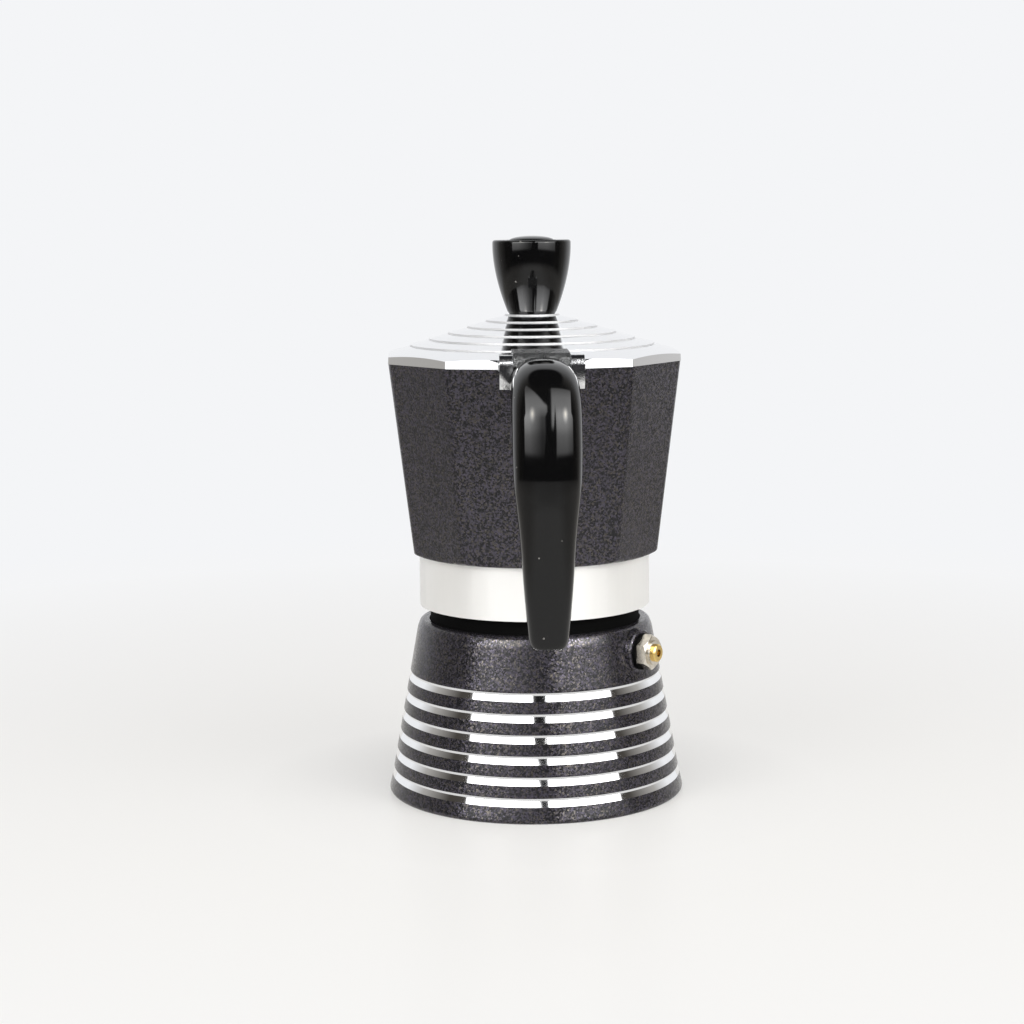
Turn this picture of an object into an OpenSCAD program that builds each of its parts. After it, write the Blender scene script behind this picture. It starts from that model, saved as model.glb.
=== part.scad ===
// Moka pot: a stove-top coffee maker that screws together from a boiler, a coffee
// basket and a ten-sided collector with a hinged lid.
// Millimetres. +Z is up, the handle points to -Y and the spout to +Y. The origin is the
// centre of the face that the pot stands on.

/* [Boiler] */
// Diameter of the boiler where it stands
base_d = 85; // [70:0.5:105]
// Height of the boiler's cone, from the table to its shoulder
cone_h = 50.2; // [41:0.1:65]
// Diameter of the neck that the collector screws onto
neck_d = 60; // [50:0.5:72]
// How far the shoulder stands out past the neck
shoulder_ledge = 3.3; // [2:0.1:6]
// Thickness of the boiler's wall
boiler_wall = 2.5; // [1.5:0.1:3.2]
// Thickness of the boiler's floor
boiler_floor = 3.2; // [2.5:0.1:5]
// Thickness of the neck's wall
neck_wall = 2.8; // [2:0.1:4]
// Round at the shoulder's outer edge
shoulder_round = 1.5; // [0.5:0.1:2]
// Round at the foot's outer edge
foot_round = 1; // [0.4:0.1:2]

/* [Turned grooves] */
// Number of polished grooves round the boiler
groove_count = 6; // [1:1:7]
// Height of the lowest groove's lower edge
groove_first = 4.7; // [3:0.1:10]
// Distance from one groove to the next
groove_pitch = 5.65; // [4:0.05:6.2]
// Height of a groove
groove_h = 2.3; // [1:0.1:3]
// Height of the groove's long lower flank
groove_flank = 1.6; // [0.5:0.1:1.9]
// Depth of a groove below the cone
groove_depth = 0.65; // [0.2:0.05:1]

/* [Safety valve] */
// Turn of the valve round the pot, counted from the handle
valve_turn = 54; // [30:1:120]
// How far the valve's centre lies below the shoulder
valve_drop = 6.7; // [6.5:0.1:12]
// Diameter of the flat boss that the valve seats on
valve_boss_d = 12.4; // [11:0.1:14]
// Width of the valve's hexagon across its flats
hex_flats = 8.8; // [7:0.1:10]
// Thickness of the valve's hexagon
hex_h = 3; // [2:0.1:4]
// Diameter of the valve's shank
shank_d = 6.8; // [6:0.1:7.4]
// Travel of the valve's plunger
plunger_travel = 1; // [0.5:0.1:1.2]

/* [Thread joint] */
// Height of bare neck that shows between the shoulder and the collector
neck_show = 4.4; // [1:0.1:6]
// Length of the neck that the collector's skirt covers
thread_reach = 9.8; // [7:0.1:12]
// Clearance between the neck and the skirt, all round
thread_gap = 0.1; // [0.05:0.01:0.3]
// Rise of one turn of the thread
thread_pitch = 3; // [1.5:0.1:4]

/* [Coffee basket] */
// Depth of the basket, from its flange to its sieve
basket_depth = 19; // [14:0.5:21]
// Thickness of the basket's sheet metal
basket_wall = 0.8; // [0.6:0.1:1.2]
// Clearance between the basket and the neck, all round
basket_gap = 0.5; // [0.3:0.1:1]
// Depth of the basket's funnel below its sieve
funnel_depth = 6.2; // [4:0.1:9]
// Outer diameter of the feed tube
tube_d = 7; // [6:0.1:9]
// Thickness of the feed tube's wall
tube_wall = 0.7; // [0.5:0.1:1]
// Gap between the feed tube's foot and the boiler's floor
tube_floor_gap = 5.5; // [3:0.1:9]

/* [Gasket and filter] */
// How far the gasket's edge lies inside the neck's outside
gasket_inset = 0.8; // [0.4:0.1:1.2]
// Width of the gasket's ring
gasket_band = 7.2; // [5:0.1:9]
// Thickness of the gasket
gasket_h = 3.6; // [2.5:0.1:4.5]
// How far the filter plate reaches over the gasket
filter_lap = 3.8; // [2:0.1:5]
// Thickness of the filter plate and of the basket's sieve
plate_h = 0.8; // [0.6:0.1:1.2]
// Rings of holes round the centre hole of the filter plate and of the sieve
hole_rings = 4; // [2:1:5]
// Diameter of a sieve hole
hole_d = 1.3; // [0.8:0.1:1.6]

/* [Collector] */
// Number of facets round the collector and the lid
facets = 10; // [6:2:12]
// Width of the collector's rim across its corners
rim_across = 85.8; // [78:0.2:106]
// Height of the bright band that screws onto the neck
band_h = 14.9; // [14:0.1:20]
// Height of the faceted chamber above the band
chamber_h = 54.8; // [44:0.2:70]
// Thickness of the skirt round the neck
skirt_wall = 2.9; // [2.4:0.1:4]
// How far the chamber's corners stand out past the band at its foot
root_flare = 3.1; // [2.2:0.1:4.1]
// Thickness of the chamber's wall
chamber_wall = 2.4; // [1.8:0.1:3]
// Radius of the round under the chamber
under_round = 5; // [4.6:0.1:7]
// Thickness of the chamber's floor
chamber_floor = 2.6; // [2:0.1:4]
// Height of the hollow between the filter plate and the chamber's floor
dome_h = 3.2; // [2:0.1:5]

/* [Column and spout] */
// Diameter of the column's foot
column_foot_d = 16; // [12:0.5:20]
// Diameter of the column's top
column_top_d = 9.6; // [8.6:0.1:12]
// Diameter of the column's bore
column_bore_d = 5.2; // [4:0.1:5.5]
// How far the column's top lies below the rim
column_drop = 12; // [8:0.5:20]
// Diameter of the two outlets near the column's top
outlet_d = 4.2; // [3:0.1:4.6]
// Reach of the spout past the rim's corner
spout_reach = 12.5; // [8:0.5:18]
// Height of the spout's beak
spout_h = 33; // [20:1:40]
// Width of the beak where it leaves the rim
spout_w = 27; // [20:1:32]
// Thickness of the beak's wall
spout_wall = 1.8; // [1.4:0.1:2.4]
// Radius of the round along the beak's ridge
spout_round = 3; // [2.6:0.1:4]

/* [Hinge] */
// Distance from the rim's corner to the hinge pin
pin_out = 4.6; // [4:0.1:7]
// Height of the hinge pin above the rim
pin_up = 1.6; // [1.2:0.1:2]
// Diameter of the hinge pin
pin_d = 3; // [2.5:0.1:3.4]
// Width of the lid's hinge tab
tab_w = 15; // [12:0.5:18]
// Thickness of each ear of the hinge bracket
ear_w = 3.5; // [2.5:0.1:4.5]
// Radius of the ear's round head
ear_r = 3; // [2.6:0.1:3.2]
// Side clearance between the tab and each ear
tab_gap = 0.2; // [0.1:0.05:0.5]
// Running clearance round the hinge pin
pin_gap = 0.06; // [0.02:0.01:0.1]

/* [Lid] */
// Height of the lid's upright edge at a corner
lid_edge = 2; // [1.5:0.1:3]
// Rise of the lid's cone for each millimetre towards its centre
lid_slope = 0.31; // [0.2:0.01:0.4]
// Thickness of the lid
lid_wall = 1.8; // [1.4:0.1:2.4]
// Number of turned steps on the lid
step_count = 6; // [1:1:6]
// Radius of the outermost step
step_first_r = 34.4; // [33:0.1:36]
// Distance from one step to the next
step_pitch = 5.38; // [4:0.01:5.4]
// Height of a step's riser
step_h = 0.45; // [0.2:0.05:0.7]
// Width of a step's riser
step_run = 0.35; // [0.2:0.05:0.6]
// Depth of the lip that keeps the lid in the rim
lip_h = 1.4; // [0.8:0.1:2]
// Thickness of that lip
lip_wall = 1.3; // [1:0.1:2]
// Clearance between the lip's foot and the rim's inner wall
lip_gap = 0.2; // [0.15:0.05:0.6]

/* [Knob] */
// Diameter of the knob's foot
knob_foot_d = 13.4; // [11:0.1:14]
// Diameter of the knob's rim
knob_rim_d = 22.2; // [18:0.1:28]
// Height of the knob
knob_h = 20.8; // [16:0.1:28]
// Height of the dome in the middle of the knob's top
knob_dome = 1.1; // [0.5:0.1:2]
// Diameter of the screw that holds the knob
knob_screw_d = 4; // [3:0.1:4.4]
// Diameter of the brass insert in the knob
insert_d = 7.4; // [6:0.1:8.5]
// Length of that insert
insert_h = 9; // [6:0.1:12]

/* [Handle] */
// Width of the handle at its widest
handle_w = 17.2; // [14:0.1:21]
// Height of the handle's arm where it meets the bracket
arm_h = 16.4; // [15:0.1:18]
// Distance from the arm's face to the middle of the grip
handle_reach = 20; // [16:0.5:26]
// How far the grip's end lies below the arm's middle
handle_drop = 65; // [54:0.5:78]
// Width of the grip's end
grip_end_w = 10; // [8:0.1:13]
// Depth of the grip's end
grip_end_d = 9.4; // [8:0.1:12]
// Clearance between the handle and the hinge
handle_gap = 1.2; // [1:0.1:2]
// Width of the tenon that carries the handle
tenon_w = 10; // [8:0.1:11]
// Height of the tenon
tenon_h = 6.4; // [5:0.1:7]
// Length of the tenon
tenon_l = 9; // [7:0.1:10]
// Clearance round the tenon
tenon_gap = 0.15; // [0.1:0.05:0.3]
// Diameter of the handle's screw
handle_screw_d = 3.5; // [3:0.1:4]

/* [Hidden] */
$fn = 96;
eps = 0.01;

// Finishes
paint = "#2e2d31";
bright = "#d9dadc";
cast_alu = "#b4b6b9";
nickel = "#c6c1b4";
brass = "#d8b04a";
rubber = "#d9d5cb";
steel = "#9a9ca0";
bakelite = "#141416";

// Heights of the stack
z_shoulder = cone_h;
z_band_foot = z_shoulder + neck_show;
z_neck_top = z_band_foot + thread_reach;
z_flange_top = z_neck_top + basket_wall;
z_seat = z_flange_top + gasket_h;
z_plate_top = z_seat + plate_h;
plate_play = 0.05;
z_dome_foot = z_plate_top + plate_play;
z_chamber_floor = z_dome_foot + dome_h + chamber_floor;
z_band_top = z_band_foot + band_h;
z_rim = z_band_top + chamber_h;

// Radii of the boiler and the joint
base_r = base_d / 2;
neck_r = neck_d / 2;
neck_in_r = neck_r - neck_wall;
shoulder_r = neck_r + shoulder_ledge;
cavity_round = 4;
skirt_in_r = neck_r + thread_gap;
band_r = skirt_in_r + skirt_wall;
function cone_r(z) = base_r + (shoulder_r - base_r) * z / cone_h;

// Radii of the basket, gasket and filter
basket_r = neck_in_r - basket_gap;
basket_in_r = basket_r - basket_wall;
flange_r = neck_r - 1.1;
sieve_gap = 0.2;
ledge_w = 2.4;
z_ledge = z_flange_top - basket_depth;
z_funnel_foot = z_ledge - funnel_depth;
sleeve_h = 4;
tube_fit = 0.05;
tube_foot_z = boiler_floor + tube_floor_gap;
gasket_r = neck_r - gasket_inset;
gasket_in_r = gasket_r - gasket_band;
gasket_gap = 0.2;
filter_r = gasket_in_r + filter_lap;
dome_r = filter_r - 1.6;

// The collector's facets
rim_r = rim_across / 2;
root_r = band_r + root_flare;
flat_share = cos(180 / facets);
function corner_r(z) = root_r + (rim_r - root_r) * (z - z_band_top) / chamber_h;
inner_round = 5;
z_column_top = z_rim - column_drop;
z_bore_top = z_column_top - 3.4;

// Hinge, bracket and handle
pin_y = -(rim_r + pin_out);
pin_z = z_rim + pin_up;
knuckle_r = 3.3;
ear_in = tab_w / 2 + tab_gap;
ear_out = ear_in + ear_w;
ear_foot_z = z_rim - 5.7;
block_w = 2 * ear_in + 1.4;
block_top_z = pin_z - knuckle_r - 1;
block_foot_z = block_top_z - 11.4;
handle_y = pin_y - knuckle_r - handle_gap;
handle_z = pin_z - 6.3;
tenon_z = block_top_z - tenon_h / 2;
screw_y = handle_y - tenon_l / 2;
screw_head_h = 2.2;
screw_head_r = handle_screw_d * 0.95;
screw_head_z = tenon_z - tenon_h / 2 - tenon_gap - 1.5;

// The safety valve, measured outwards along its own axis
valve_z = z_shoulder - valve_drop;
washer_h = 0.8;
valve_washer_r = hex_flats / 2 + 0.7;
boss_proud = 0.17;
boss_face = cone_r(valve_z - valve_washer_r) + boss_proud;
hex_face = boss_face + washer_h;
hex_end = hex_face + hex_h;
collar_h = 0.8;
collar_r = hex_flats / 2 - 0.9;
valve_end = hex_end + collar_h;
shank_in = cone_r(valve_z) - boiler_wall - 3;
valve_bore_r = 2.3;
seat_h = 2;
seat_bore_r = 1.2;
bush_r = 2.5;
bush_cap_h = 1;
bush_depth = 1.6;
bush_bore_r = 1.05;
plunger_r = valve_bore_r - 0.15;
plunger_head_h = 2;
stem_r = 0.75;
stem_end = valve_end + bush_cap_h - plunger_travel - 0.3;
spring_coils = 4.5;
spring_wire_r = 0.22;
spring_play = 0.06;

// The lid's cone meets the top of its upright edge at the corners
z_lid_corner = z_rim + lid_edge;
tread_slope = lid_slope - (step_h - lid_slope * step_run) / (step_pitch - step_run);
function lid_z(r) = z_lid_corner + lid_slope * (rim_r - r);
boss_r = step_first_r - step_pitch * (step_count - 1);
z_boss = lid_z(boss_r);
knob_z = z_boss;
knob_foot_r = knob_foot_d / 2;
knob_rim_r = knob_rim_d / 2;
knob_band_h = 1.6;
knob_power = 1.8;
washer_r = knob_screw_d * 1.4;
screw_head_in_h = 2.4;

function mix(a, b, t) = a + (b - a) * t;
// Points of an arc round (x, y), from angle a to angle b
function arc(x, y, r, a, b, n) =
    [for (i = [0 : n]) [x + r * cos(mix(a, b, i / n)), y + r * sin(mix(a, b, i / n))]];

// A solid with the facets' outline, its corners r0 out at z0 and r1 out at z1
module faceted(z0, z1, r0, r1) {
    translate([0, 0, z0]) rotate([0, 0, 90]) cylinder(h = z1 - z0, r1 = r0, r2 = r1, $fn = facets);
}

// Places what is drawn along +Z so that it points outwards along the valve's axis
module at_valve() {
    rotate([0, 0, valve_turn]) translate([0, 0, valve_z]) rotate([90, 0, 0]) children();
}

// A centred hole and rings of six, twelve, eighteen and so on, out to the radius r
module hole_field(r, h) {
    pitch = (r - hole_d) / hole_rings;
    cylinder(h = h, d = hole_d);
    for (ring = [1 : hole_rings], i = [0 : 6 * ring - 1])
        rotate([0, 0, 60 * i / ring]) translate([pitch * ring, 0, 0]) cylinder(h = h, d = hole_d, $fn = 24);
}

// ---- Boiler -------------------------------------------------------------------------

// The three points of one groove, from its lower edge to its upper edge
function groove(z) = [
    [cone_r(z), z],
    [cone_r(z + groove_flank) - groove_depth, z + groove_flank],
    [cone_r(z + groove_h), z + groove_h]];

module boiler_outside() {
    lean = atan((base_r - shoulder_r) / cone_h);
    rotate_extrude() polygon(concat(
        [[0, 0]],
        arc(base_r - foot_round, foot_round, foot_round, -90, lean, 6),
        [for (i = [0 : groove_count - 1], p = groove(groove_first + groove_pitch * i)) p],
        arc(shoulder_r - shoulder_round, z_shoulder - shoulder_round, shoulder_round, lean, 90, 6),
        [[neck_r, z_shoulder], [neck_r, z_neck_top - 0.6], [neck_r - 0.6, z_neck_top], [0, z_neck_top]]));
}

module boiler_hollow() {
    foot_z = boiler_floor + cavity_round;
    taper_z = z_shoulder - boiler_wall - 1.6;
    side_r = cone_r(foot_z) - boiler_wall;
    rotate_extrude() polygon(concat(
        [[0, boiler_floor]],
        arc(side_r - cavity_round, foot_z, cavity_round, -90, 0, 8),
        [[cone_r(taper_z) - boiler_wall, taper_z], [neck_in_r, z_shoulder], [neck_in_r, z_neck_top + 1],
         [0, z_neck_top + 1]]));
}

module boiler() {
    color(paint) difference() {
        union() {
            boiler_outside();
            at_valve() translate([0, 0, shank_in]) cylinder(h = boss_face - shank_in, d = valve_boss_d);
        }
        boiler_hollow();
        at_valve() cylinder(h = boss_face + 1, d = shank_d + 2 * tube_fit);
        for (ring_r = [12, 30]) translate([0, 0, -eps]) difference() {
            cylinder(h = 0.4, r = ring_r + 1.2);
            translate([0, 0, -1]) cylinder(h = 2, r = ring_r);
        }
    }
}

// ---- Safety valve -------------------------------------------------------------------

module valve_washer() {
    color(rubber) at_valve() translate([0, 0, boss_face]) difference() {
        cylinder(h = washer_h, r = valve_washer_r);
        translate([0, 0, -1]) cylinder(h = washer_h + 2, d = shank_d + 2 * tube_fit);
    }
}

module valve_body() {
    color(nickel) at_valve() difference() {
        union() {
            translate([0, 0, shank_in]) cylinder(h = hex_face - shank_in + eps, d = shank_d);
            intersection() {
                translate([0, 0, hex_face]) rotate([0, 0, 30])
                    cylinder(h = hex_h, r = hex_flats / 2 / cos(30), $fn = 6);
                rotate_extrude() polygon([[0, hex_face], [hex_flats / 2 + 0.25, hex_face],
                    [hex_flats / 2 + 0.8, hex_face + 0.4], [hex_flats / 2 + 0.8, hex_end - 0.6],
                    [hex_flats / 2 - 0.1, hex_end], [0, hex_end]]);
            }
            translate([0, 0, hex_end - eps]) cylinder(h = collar_h + eps, r = collar_r);
        }
        translate([0, 0, shank_in + seat_h]) cylinder(h = valve_end, r = valve_bore_r);
        translate([0, 0, shank_in - 1]) cylinder(h = seat_h + 2, r = seat_bore_r);
    }
}

module valve_plunger() {
    head = shank_in + seat_h;
    color(brass) at_valve() rotate_extrude() polygon([
        [0, head + spring_play], [plunger_r - 0.4, head + spring_play], [plunger_r, head + 0.5],
        [plunger_r, head + plunger_head_h], [stem_r, head + plunger_head_h],
        [stem_r, stem_end - 0.3], [stem_r - 0.3, stem_end], [0, stem_end]]);
}

// A round wire wound between the plunger's head and the bush
module valve_spring() {
    wire_sides = 6;
    turn_steps = 14;
    coil_r = (valve_bore_r + stem_r) / 2;
    low = shank_in + seat_h + plunger_head_h + spring_wire_r + spring_play;
    high = valve_end - bush_depth - spring_wire_r - spring_play;
    rings = ceil(spring_coils * turn_steps);
    points = [for (i = [0 : rings], k = [0 : wire_sides - 1])
        let (a = 360 * spring_coils * i / rings, w = 360 * k / wire_sides,
            r = coil_r + spring_wire_r * cos(w))
        [r * cos(a), r * sin(a), mix(low, high, i / rings) + spring_wire_r * sin(w)]];
    sides = [for (i = [0 : rings - 1], k = [0 : wire_sides - 1])
        let (a = i * wire_sides + k, b = i * wire_sides + (k + 1) % wire_sides)
        each [[a, a + wire_sides, b], [b, a + wire_sides, b + wire_sides]]];
    caps = [[for (k = [0 : wire_sides - 1]) k],
        [for (k = [wire_sides - 1 : -1 : 0]) rings * wire_sides + k]];
    color(steel) at_valve() polyhedron(points, concat(sides, caps));
}

module valve_bush() {
    color(brass) at_valve() translate([0, 0, valve_end - bush_depth]) difference() {
        union() {
            cylinder(h = bush_depth, r = valve_bore_r - 0.01);
            translate([0, 0, bush_depth]) rotate_extrude() polygon([[0, 0], [bush_r, 0],
                [bush_r, bush_cap_h - 0.35], [bush_r - 0.35, bush_cap_h], [0, bush_cap_h]]);
        }
        translate([0, 0, -1]) cylinder(h = bush_depth + bush_cap_h + 2, r = bush_bore_r);
    }
}

// ---- Coffee basket ------------------------------------------------------------------

module funnel_cup() {
    sleeve_r = tube_d / 2 + tube_fit;
    ledge_r = basket_in_r - ledge_w;
    color(cast_alu) rotate_extrude() polygon([
        [basket_in_r, z_flange_top], [basket_in_r, z_ledge], [ledge_r, z_ledge],
        [sleeve_r, z_funnel_foot], [sleeve_r, z_funnel_foot - sleeve_h],
        [sleeve_r + basket_wall, z_funnel_foot - sleeve_h],
        [sleeve_r + basket_wall, z_funnel_foot - basket_wall],
        [ledge_r, z_ledge - basket_wall], [basket_r, z_ledge - basket_wall],
        [basket_r, z_neck_top], [flange_r, z_neck_top], [flange_r, z_flange_top]]);
}

module funnel_tube() {
    color(cast_alu) translate([0, 0, tube_foot_z]) difference() {
        cylinder(h = z_funnel_foot - tube_foot_z, d = tube_d);
        translate([0, 0, -1]) cylinder(h = z_funnel_foot - tube_foot_z + 2, d = tube_d - 2 * tube_wall);
    }
}

module funnel_sieve() {
    color(steel) translate([0, 0, z_ledge]) difference() {
        cylinder(h = plate_h, r = basket_in_r - sieve_gap);
        translate([0, 0, -1]) hole_field(basket_in_r - ledge_w - 1, plate_h + 2);
    }
}

// ---- Gasket and filter plate --------------------------------------------------------

module gasket() {
    edge = 0.4;
    color(rubber) rotate_extrude() polygon([
        [gasket_in_r, z_flange_top], [gasket_r - edge, z_flange_top], [gasket_r, z_flange_top + edge],
        [gasket_r, z_seat - edge], [gasket_r - edge, z_seat], [gasket_in_r, z_seat]]);
}

module filter_plate() {
    color(cast_alu) translate([0, 0, z_seat]) difference() {
        cylinder(h = plate_h, r = filter_r);
        translate([0, 0, -1]) hole_field(gasket_in_r - 1, plate_h + 2);
    }
}

// ---- Collector ----------------------------------------------------------------------

// Band and faceted chamber, with the round under the chamber turned on a lathe
module collector_outside() {
    turn = 60;
    last = [band_r + under_round * sin(turn), z_band_top + under_round * (1 - cos(turn))];
    far = rim_r + 10;
    translate([0, 0, z_band_foot]) cylinder(h = band_h + 1, r = band_r);
    intersection() {
        faceted(z_band_top, z_rim, root_r, rim_r);
        rotate_extrude() polygon(concat(
            [[0, z_band_top]],
            arc(band_r, z_band_top + under_round, under_round, -90, -90 + turn, 8),
            [[far, last[1] + (far - last[0]) * tan(turn)], [far, z_rim + 20], [0, z_rim + 20]]));
    }
}

module chamber_hollow() {
    inset = chamber_wall / flat_share;
    side_r = corner_r(z_chamber_floor) - inset;
    foot_r = side_r * flat_share - inner_round + 1;
    turn = 65;
    last = [foot_r + inner_round * sin(turn), z_chamber_floor + inner_round * (1 - cos(turn))];
    far = rim_r + 10;
    intersection() {
        faceted(z_chamber_floor, z_rim + 1, side_r, corner_r(z_rim + 1) - inset);
        rotate_extrude() polygon(concat(
            [[0, z_chamber_floor]],
            arc(foot_r, z_chamber_floor + inner_round, inner_round, -90, -90 + turn, 8),
            [[far, last[1] + (far - last[0]) * tan(turn)], [far, z_rim + 20], [0, z_rim + 20]]));
    }
}

// The beak: a three-sided slice from its foot up to its tip, rounded by the radius r
module beak(r) {
    back_y = rim_r - 9;
    wing = spout_w / 2 - spout_round;
    foot_z = z_rim - spout_h + spout_round;
    hull() for (c = [[0, rim_r + spout_reach - spout_round, z_rim], [wing, back_y, z_rim],
            [-wing, back_y, z_rim], [0, corner_r(foot_z) - 4, foot_z]])
        translate(c) sphere(r = r, $fn = 24);
}

module beak_outside() {
    intersection() {
        beak(spout_round);
        translate([-spout_w, 0, 0]) cube([2 * spout_w, 2 * rim_r, z_rim]);
    }
}

// Skirt bore, gasket seat, filter recess and the hollow that leads to the column
module collector_underside() {
    recess_r = filter_r + gasket_gap;
    rotate_extrude() polygon([
        [0, z_band_foot - 1], [skirt_in_r + 0.6, z_band_foot - 1], [skirt_in_r + 0.6, z_band_foot],
        [skirt_in_r, z_band_foot + 0.6], [skirt_in_r, z_neck_top + 0.4],
        [gasket_r + gasket_gap, z_neck_top + 0.4], [gasket_r + gasket_gap, z_seat],
        [recess_r, z_seat], [recess_r, z_dome_foot], [dome_r, z_dome_foot],
        [column_bore_d / 2, z_dome_foot + dome_h], [0, z_dome_foot + dome_h]]);
}

module column() {
    foot_r = column_foot_d / 2;
    top_r = column_top_d / 2;
    flare = 3;
    crown = 70;
    rotate_extrude() polygon(concat(
        [[0, z_chamber_floor - 1], [foot_r + flare, z_chamber_floor - 1]],
        arc(foot_r + flare, z_chamber_floor + flare, flare, -90, -180, 6),
        arc(0, z_column_top - top_r, top_r, 0, crown, 6),
        [[0, z_column_top - top_r * (1 - sin(crown))]]));
}

// Two ears with the handle's block between them, cast on the rim's rear corner
module bracket() {
    ear_depth = rim_r - 4.4;
    block_back = corner_r(block_foot_z) * flat_share - 1;
    for (side = [-1, 1])
        translate([side * (ear_in + ear_w / 2) - ear_w / 2, 0, 0]) rotate([90, 0, 90])
            linear_extrude(ear_w) union() {
                translate([pin_y, pin_z]) circle(r = ear_r);
                polygon([[-ear_depth, ear_foot_z], [pin_y - ear_r + 0.8, ear_foot_z + 1.2],
                    [pin_y - ear_r, ear_foot_z + 3], [pin_y - ear_r, pin_z], [pin_y + 2, pin_z + 2.2],
                    [-rim_r + 1.6, z_rim - 0.7], [-ear_depth, z_rim - 0.7]]);
            }
    translate([-block_w / 2, 0, 0]) rotate([90, 0, 90]) linear_extrude(block_w)
        polygon([[-block_back, block_foot_z - 6], [handle_y, block_foot_z + 1],
            [handle_y, block_top_z - 1], [handle_y + 1, block_top_z], [-block_back, block_top_z]]);
    translate([-tenon_w / 2, handle_y - tenon_l, tenon_z - tenon_h / 2])
        cube([tenon_w, tenon_l + 1, tenon_h]);
}

module collector() {
    color(bright) difference() {
        union() {
            difference() {
                union() {
                    collector_outside();
                    beak_outside();
                    bracket();
                }
                chamber_hollow();
                beak(spout_round - spout_wall);
            }
            column();
        }
        collector_underside();
        cylinder(h = z_bore_top, d = column_bore_d);
        translate([0, 0, z_bore_top - outlet_d / 2 - 0.5]) rotate([0, 90, 0])
            cylinder(h = column_foot_d, d = outlet_d, center = true);
        translate([0, pin_y, pin_z]) rotate([0, 90, 0])
            cylinder(h = 2 * ear_out + 2, d = pin_d + 0.02, center = true);
        translate([0, screw_y, tenon_z - tenon_h / 2 - 1])
            cylinder(h = tenon_h - 0.6, d = handle_screw_d + 0.04);
    }
}

// ---- Handle -------------------------------------------------------------------------

function bezier(p, t) = p[0] * pow(1 - t, 3) + p[1] * 3 * t * pow(1 - t, 2)
    + p[2] * 3 * t * t * (1 - t) + p[3] * pow(t, 3);

// The handle's middle line, as [y, z]: an arm that bends down into the grip
grip_y = handle_y - handle_reach;
bend_z = handle_z - 20;
end_z = handle_z - handle_drop;
arm_line = [[handle_y, handle_z], [handle_y - 12, handle_z], [grip_y, handle_z + 2.5], [grip_y, bend_z]];
grip_line = [[grip_y, bend_z], [grip_y, bend_z - 15], [grip_y + 0.9, end_z + 14], [grip_y + 2, end_z]];
bend_share = 0.42;
function handle_line(s) = s < bend_share
    ? bezier(arm_line, s / bend_share)
    : bezier(grip_line, (s - bend_share) / (1 - bend_share));

// Its direction, which is square to the bracket at the arm's face
function handle_way(s) = s == 0 ? [-1, 0] : handle_line(min(s + 0.01, 1)) - handle_line(s - 0.01);

// Half widths and half depths along it, from the arm's face to the grip's end
half_w = [[0, handle_w / 2 - 1], [0.12, handle_w / 2], [0.42, handle_w / 2 - 0.2],
    [0.62, mix(handle_w, grip_end_w, 0.45) / 2], [0.8, mix(handle_w, grip_end_w, 0.66) / 2], [1, grip_end_w / 2]];
half_d = [[0, arm_h / 2], [0.2, arm_h / 2 - 0.8], [0.42, mix(arm_h, grip_end_d, 0.4) / 2],
    [0.7, mix(arm_h, grip_end_d, 0.66) / 2], [1, grip_end_d / 2]];

module handle_form() {
    rings = 36;
    sides = 32;
    squareness = 2.2;
    end_round = 2.2;
    end_start = 0.96;
    points = [for (i = [0 : rings])
        let (s = i / rings, c = handle_line(s), d = handle_way(s), n = [-d[1], d[0]] / norm(d),
            u = max(0, (s - end_start) / (1 - end_start)), pull = end_round * (1 - sqrt(1 - u * u)),
            a = lookup(s, half_w) - pull, b = lookup(s, half_d) - pull)
        for (k = [0 : sides - 1])
            let (t = 360 * k / sides, x = a * sign(cos(t)) * pow(abs(cos(t)), 2 / squareness),
                w = b * sign(sin(t)) * pow(abs(sin(t)), 2 / squareness))
            [x, c[0] + n[0] * w, c[1] + n[1] * w]];
    skin = [for (i = [0 : rings - 1], k = [0 : sides - 1])
        let (a = i * sides + k, b = i * sides + (k + 1) % sides)
        each [[a, b, a + sides], [b, b + sides, a + sides]]];
    caps = [[for (k = [sides - 1 : -1 : 0]) k], [for (k = [0 : sides - 1]) rings * sides + k]];
    polyhedron(points, concat(skin, caps));
}

module handle() {
    color(bakelite) difference() {
        handle_form();
        translate([-tenon_w / 2 - tenon_gap, handle_y - tenon_l - 0.4, tenon_z - tenon_h / 2 - tenon_gap])
            cube([tenon_w + 2 * tenon_gap, tenon_l + 2, tenon_h + 2 * tenon_gap]);
        translate([0, screw_y, handle_z - arm_h]) cylinder(h = arm_h, d = handle_screw_d + 0.3);
        translate([0, screw_y, screw_head_z - arm_h]) cylinder(h = arm_h, r = screw_head_r + 0.3);
    }
}

// A round-headed screw that points up from the height z, with a cross slot in its head
module screw(z, shaft_d, shaft_l, head_r, head_h) {
    difference() {
        translate([0, 0, z]) rotate_extrude() polygon(concat(
            [[0, -head_h]],
            arc(head_r - head_h * 0.7, -head_h * 0.3, head_h * 0.7, -90, 0, 6),
            [[head_r, 0], [shaft_d / 2, 0], [shaft_d / 2, shaft_l - 0.5], [shaft_d / 2 - 0.5, shaft_l], [0, shaft_l]]));
        for (turn = [0, 90]) rotate([0, 0, turn])
            translate([-head_r * 0.6, -0.4, z - head_h - 1]) cube([head_r * 1.2, 0.8, 1 + head_h * 0.45]);
    }
}

module handle_screw() {
    color(steel) translate([0, screw_y, 0])
        screw(screw_head_z, handle_screw_d, tenon_z + tenon_h / 2 - 2 - screw_head_z, screw_head_r, screw_head_h);
}

module hinge_pin() {
    color(steel) translate([0, pin_y, pin_z]) rotate([0, 90, 0])
        cylinder(h = 2 * ear_out + 0.6, d = pin_d, center = true);
}

// ---- Lid and knob -------------------------------------------------------------------

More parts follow.
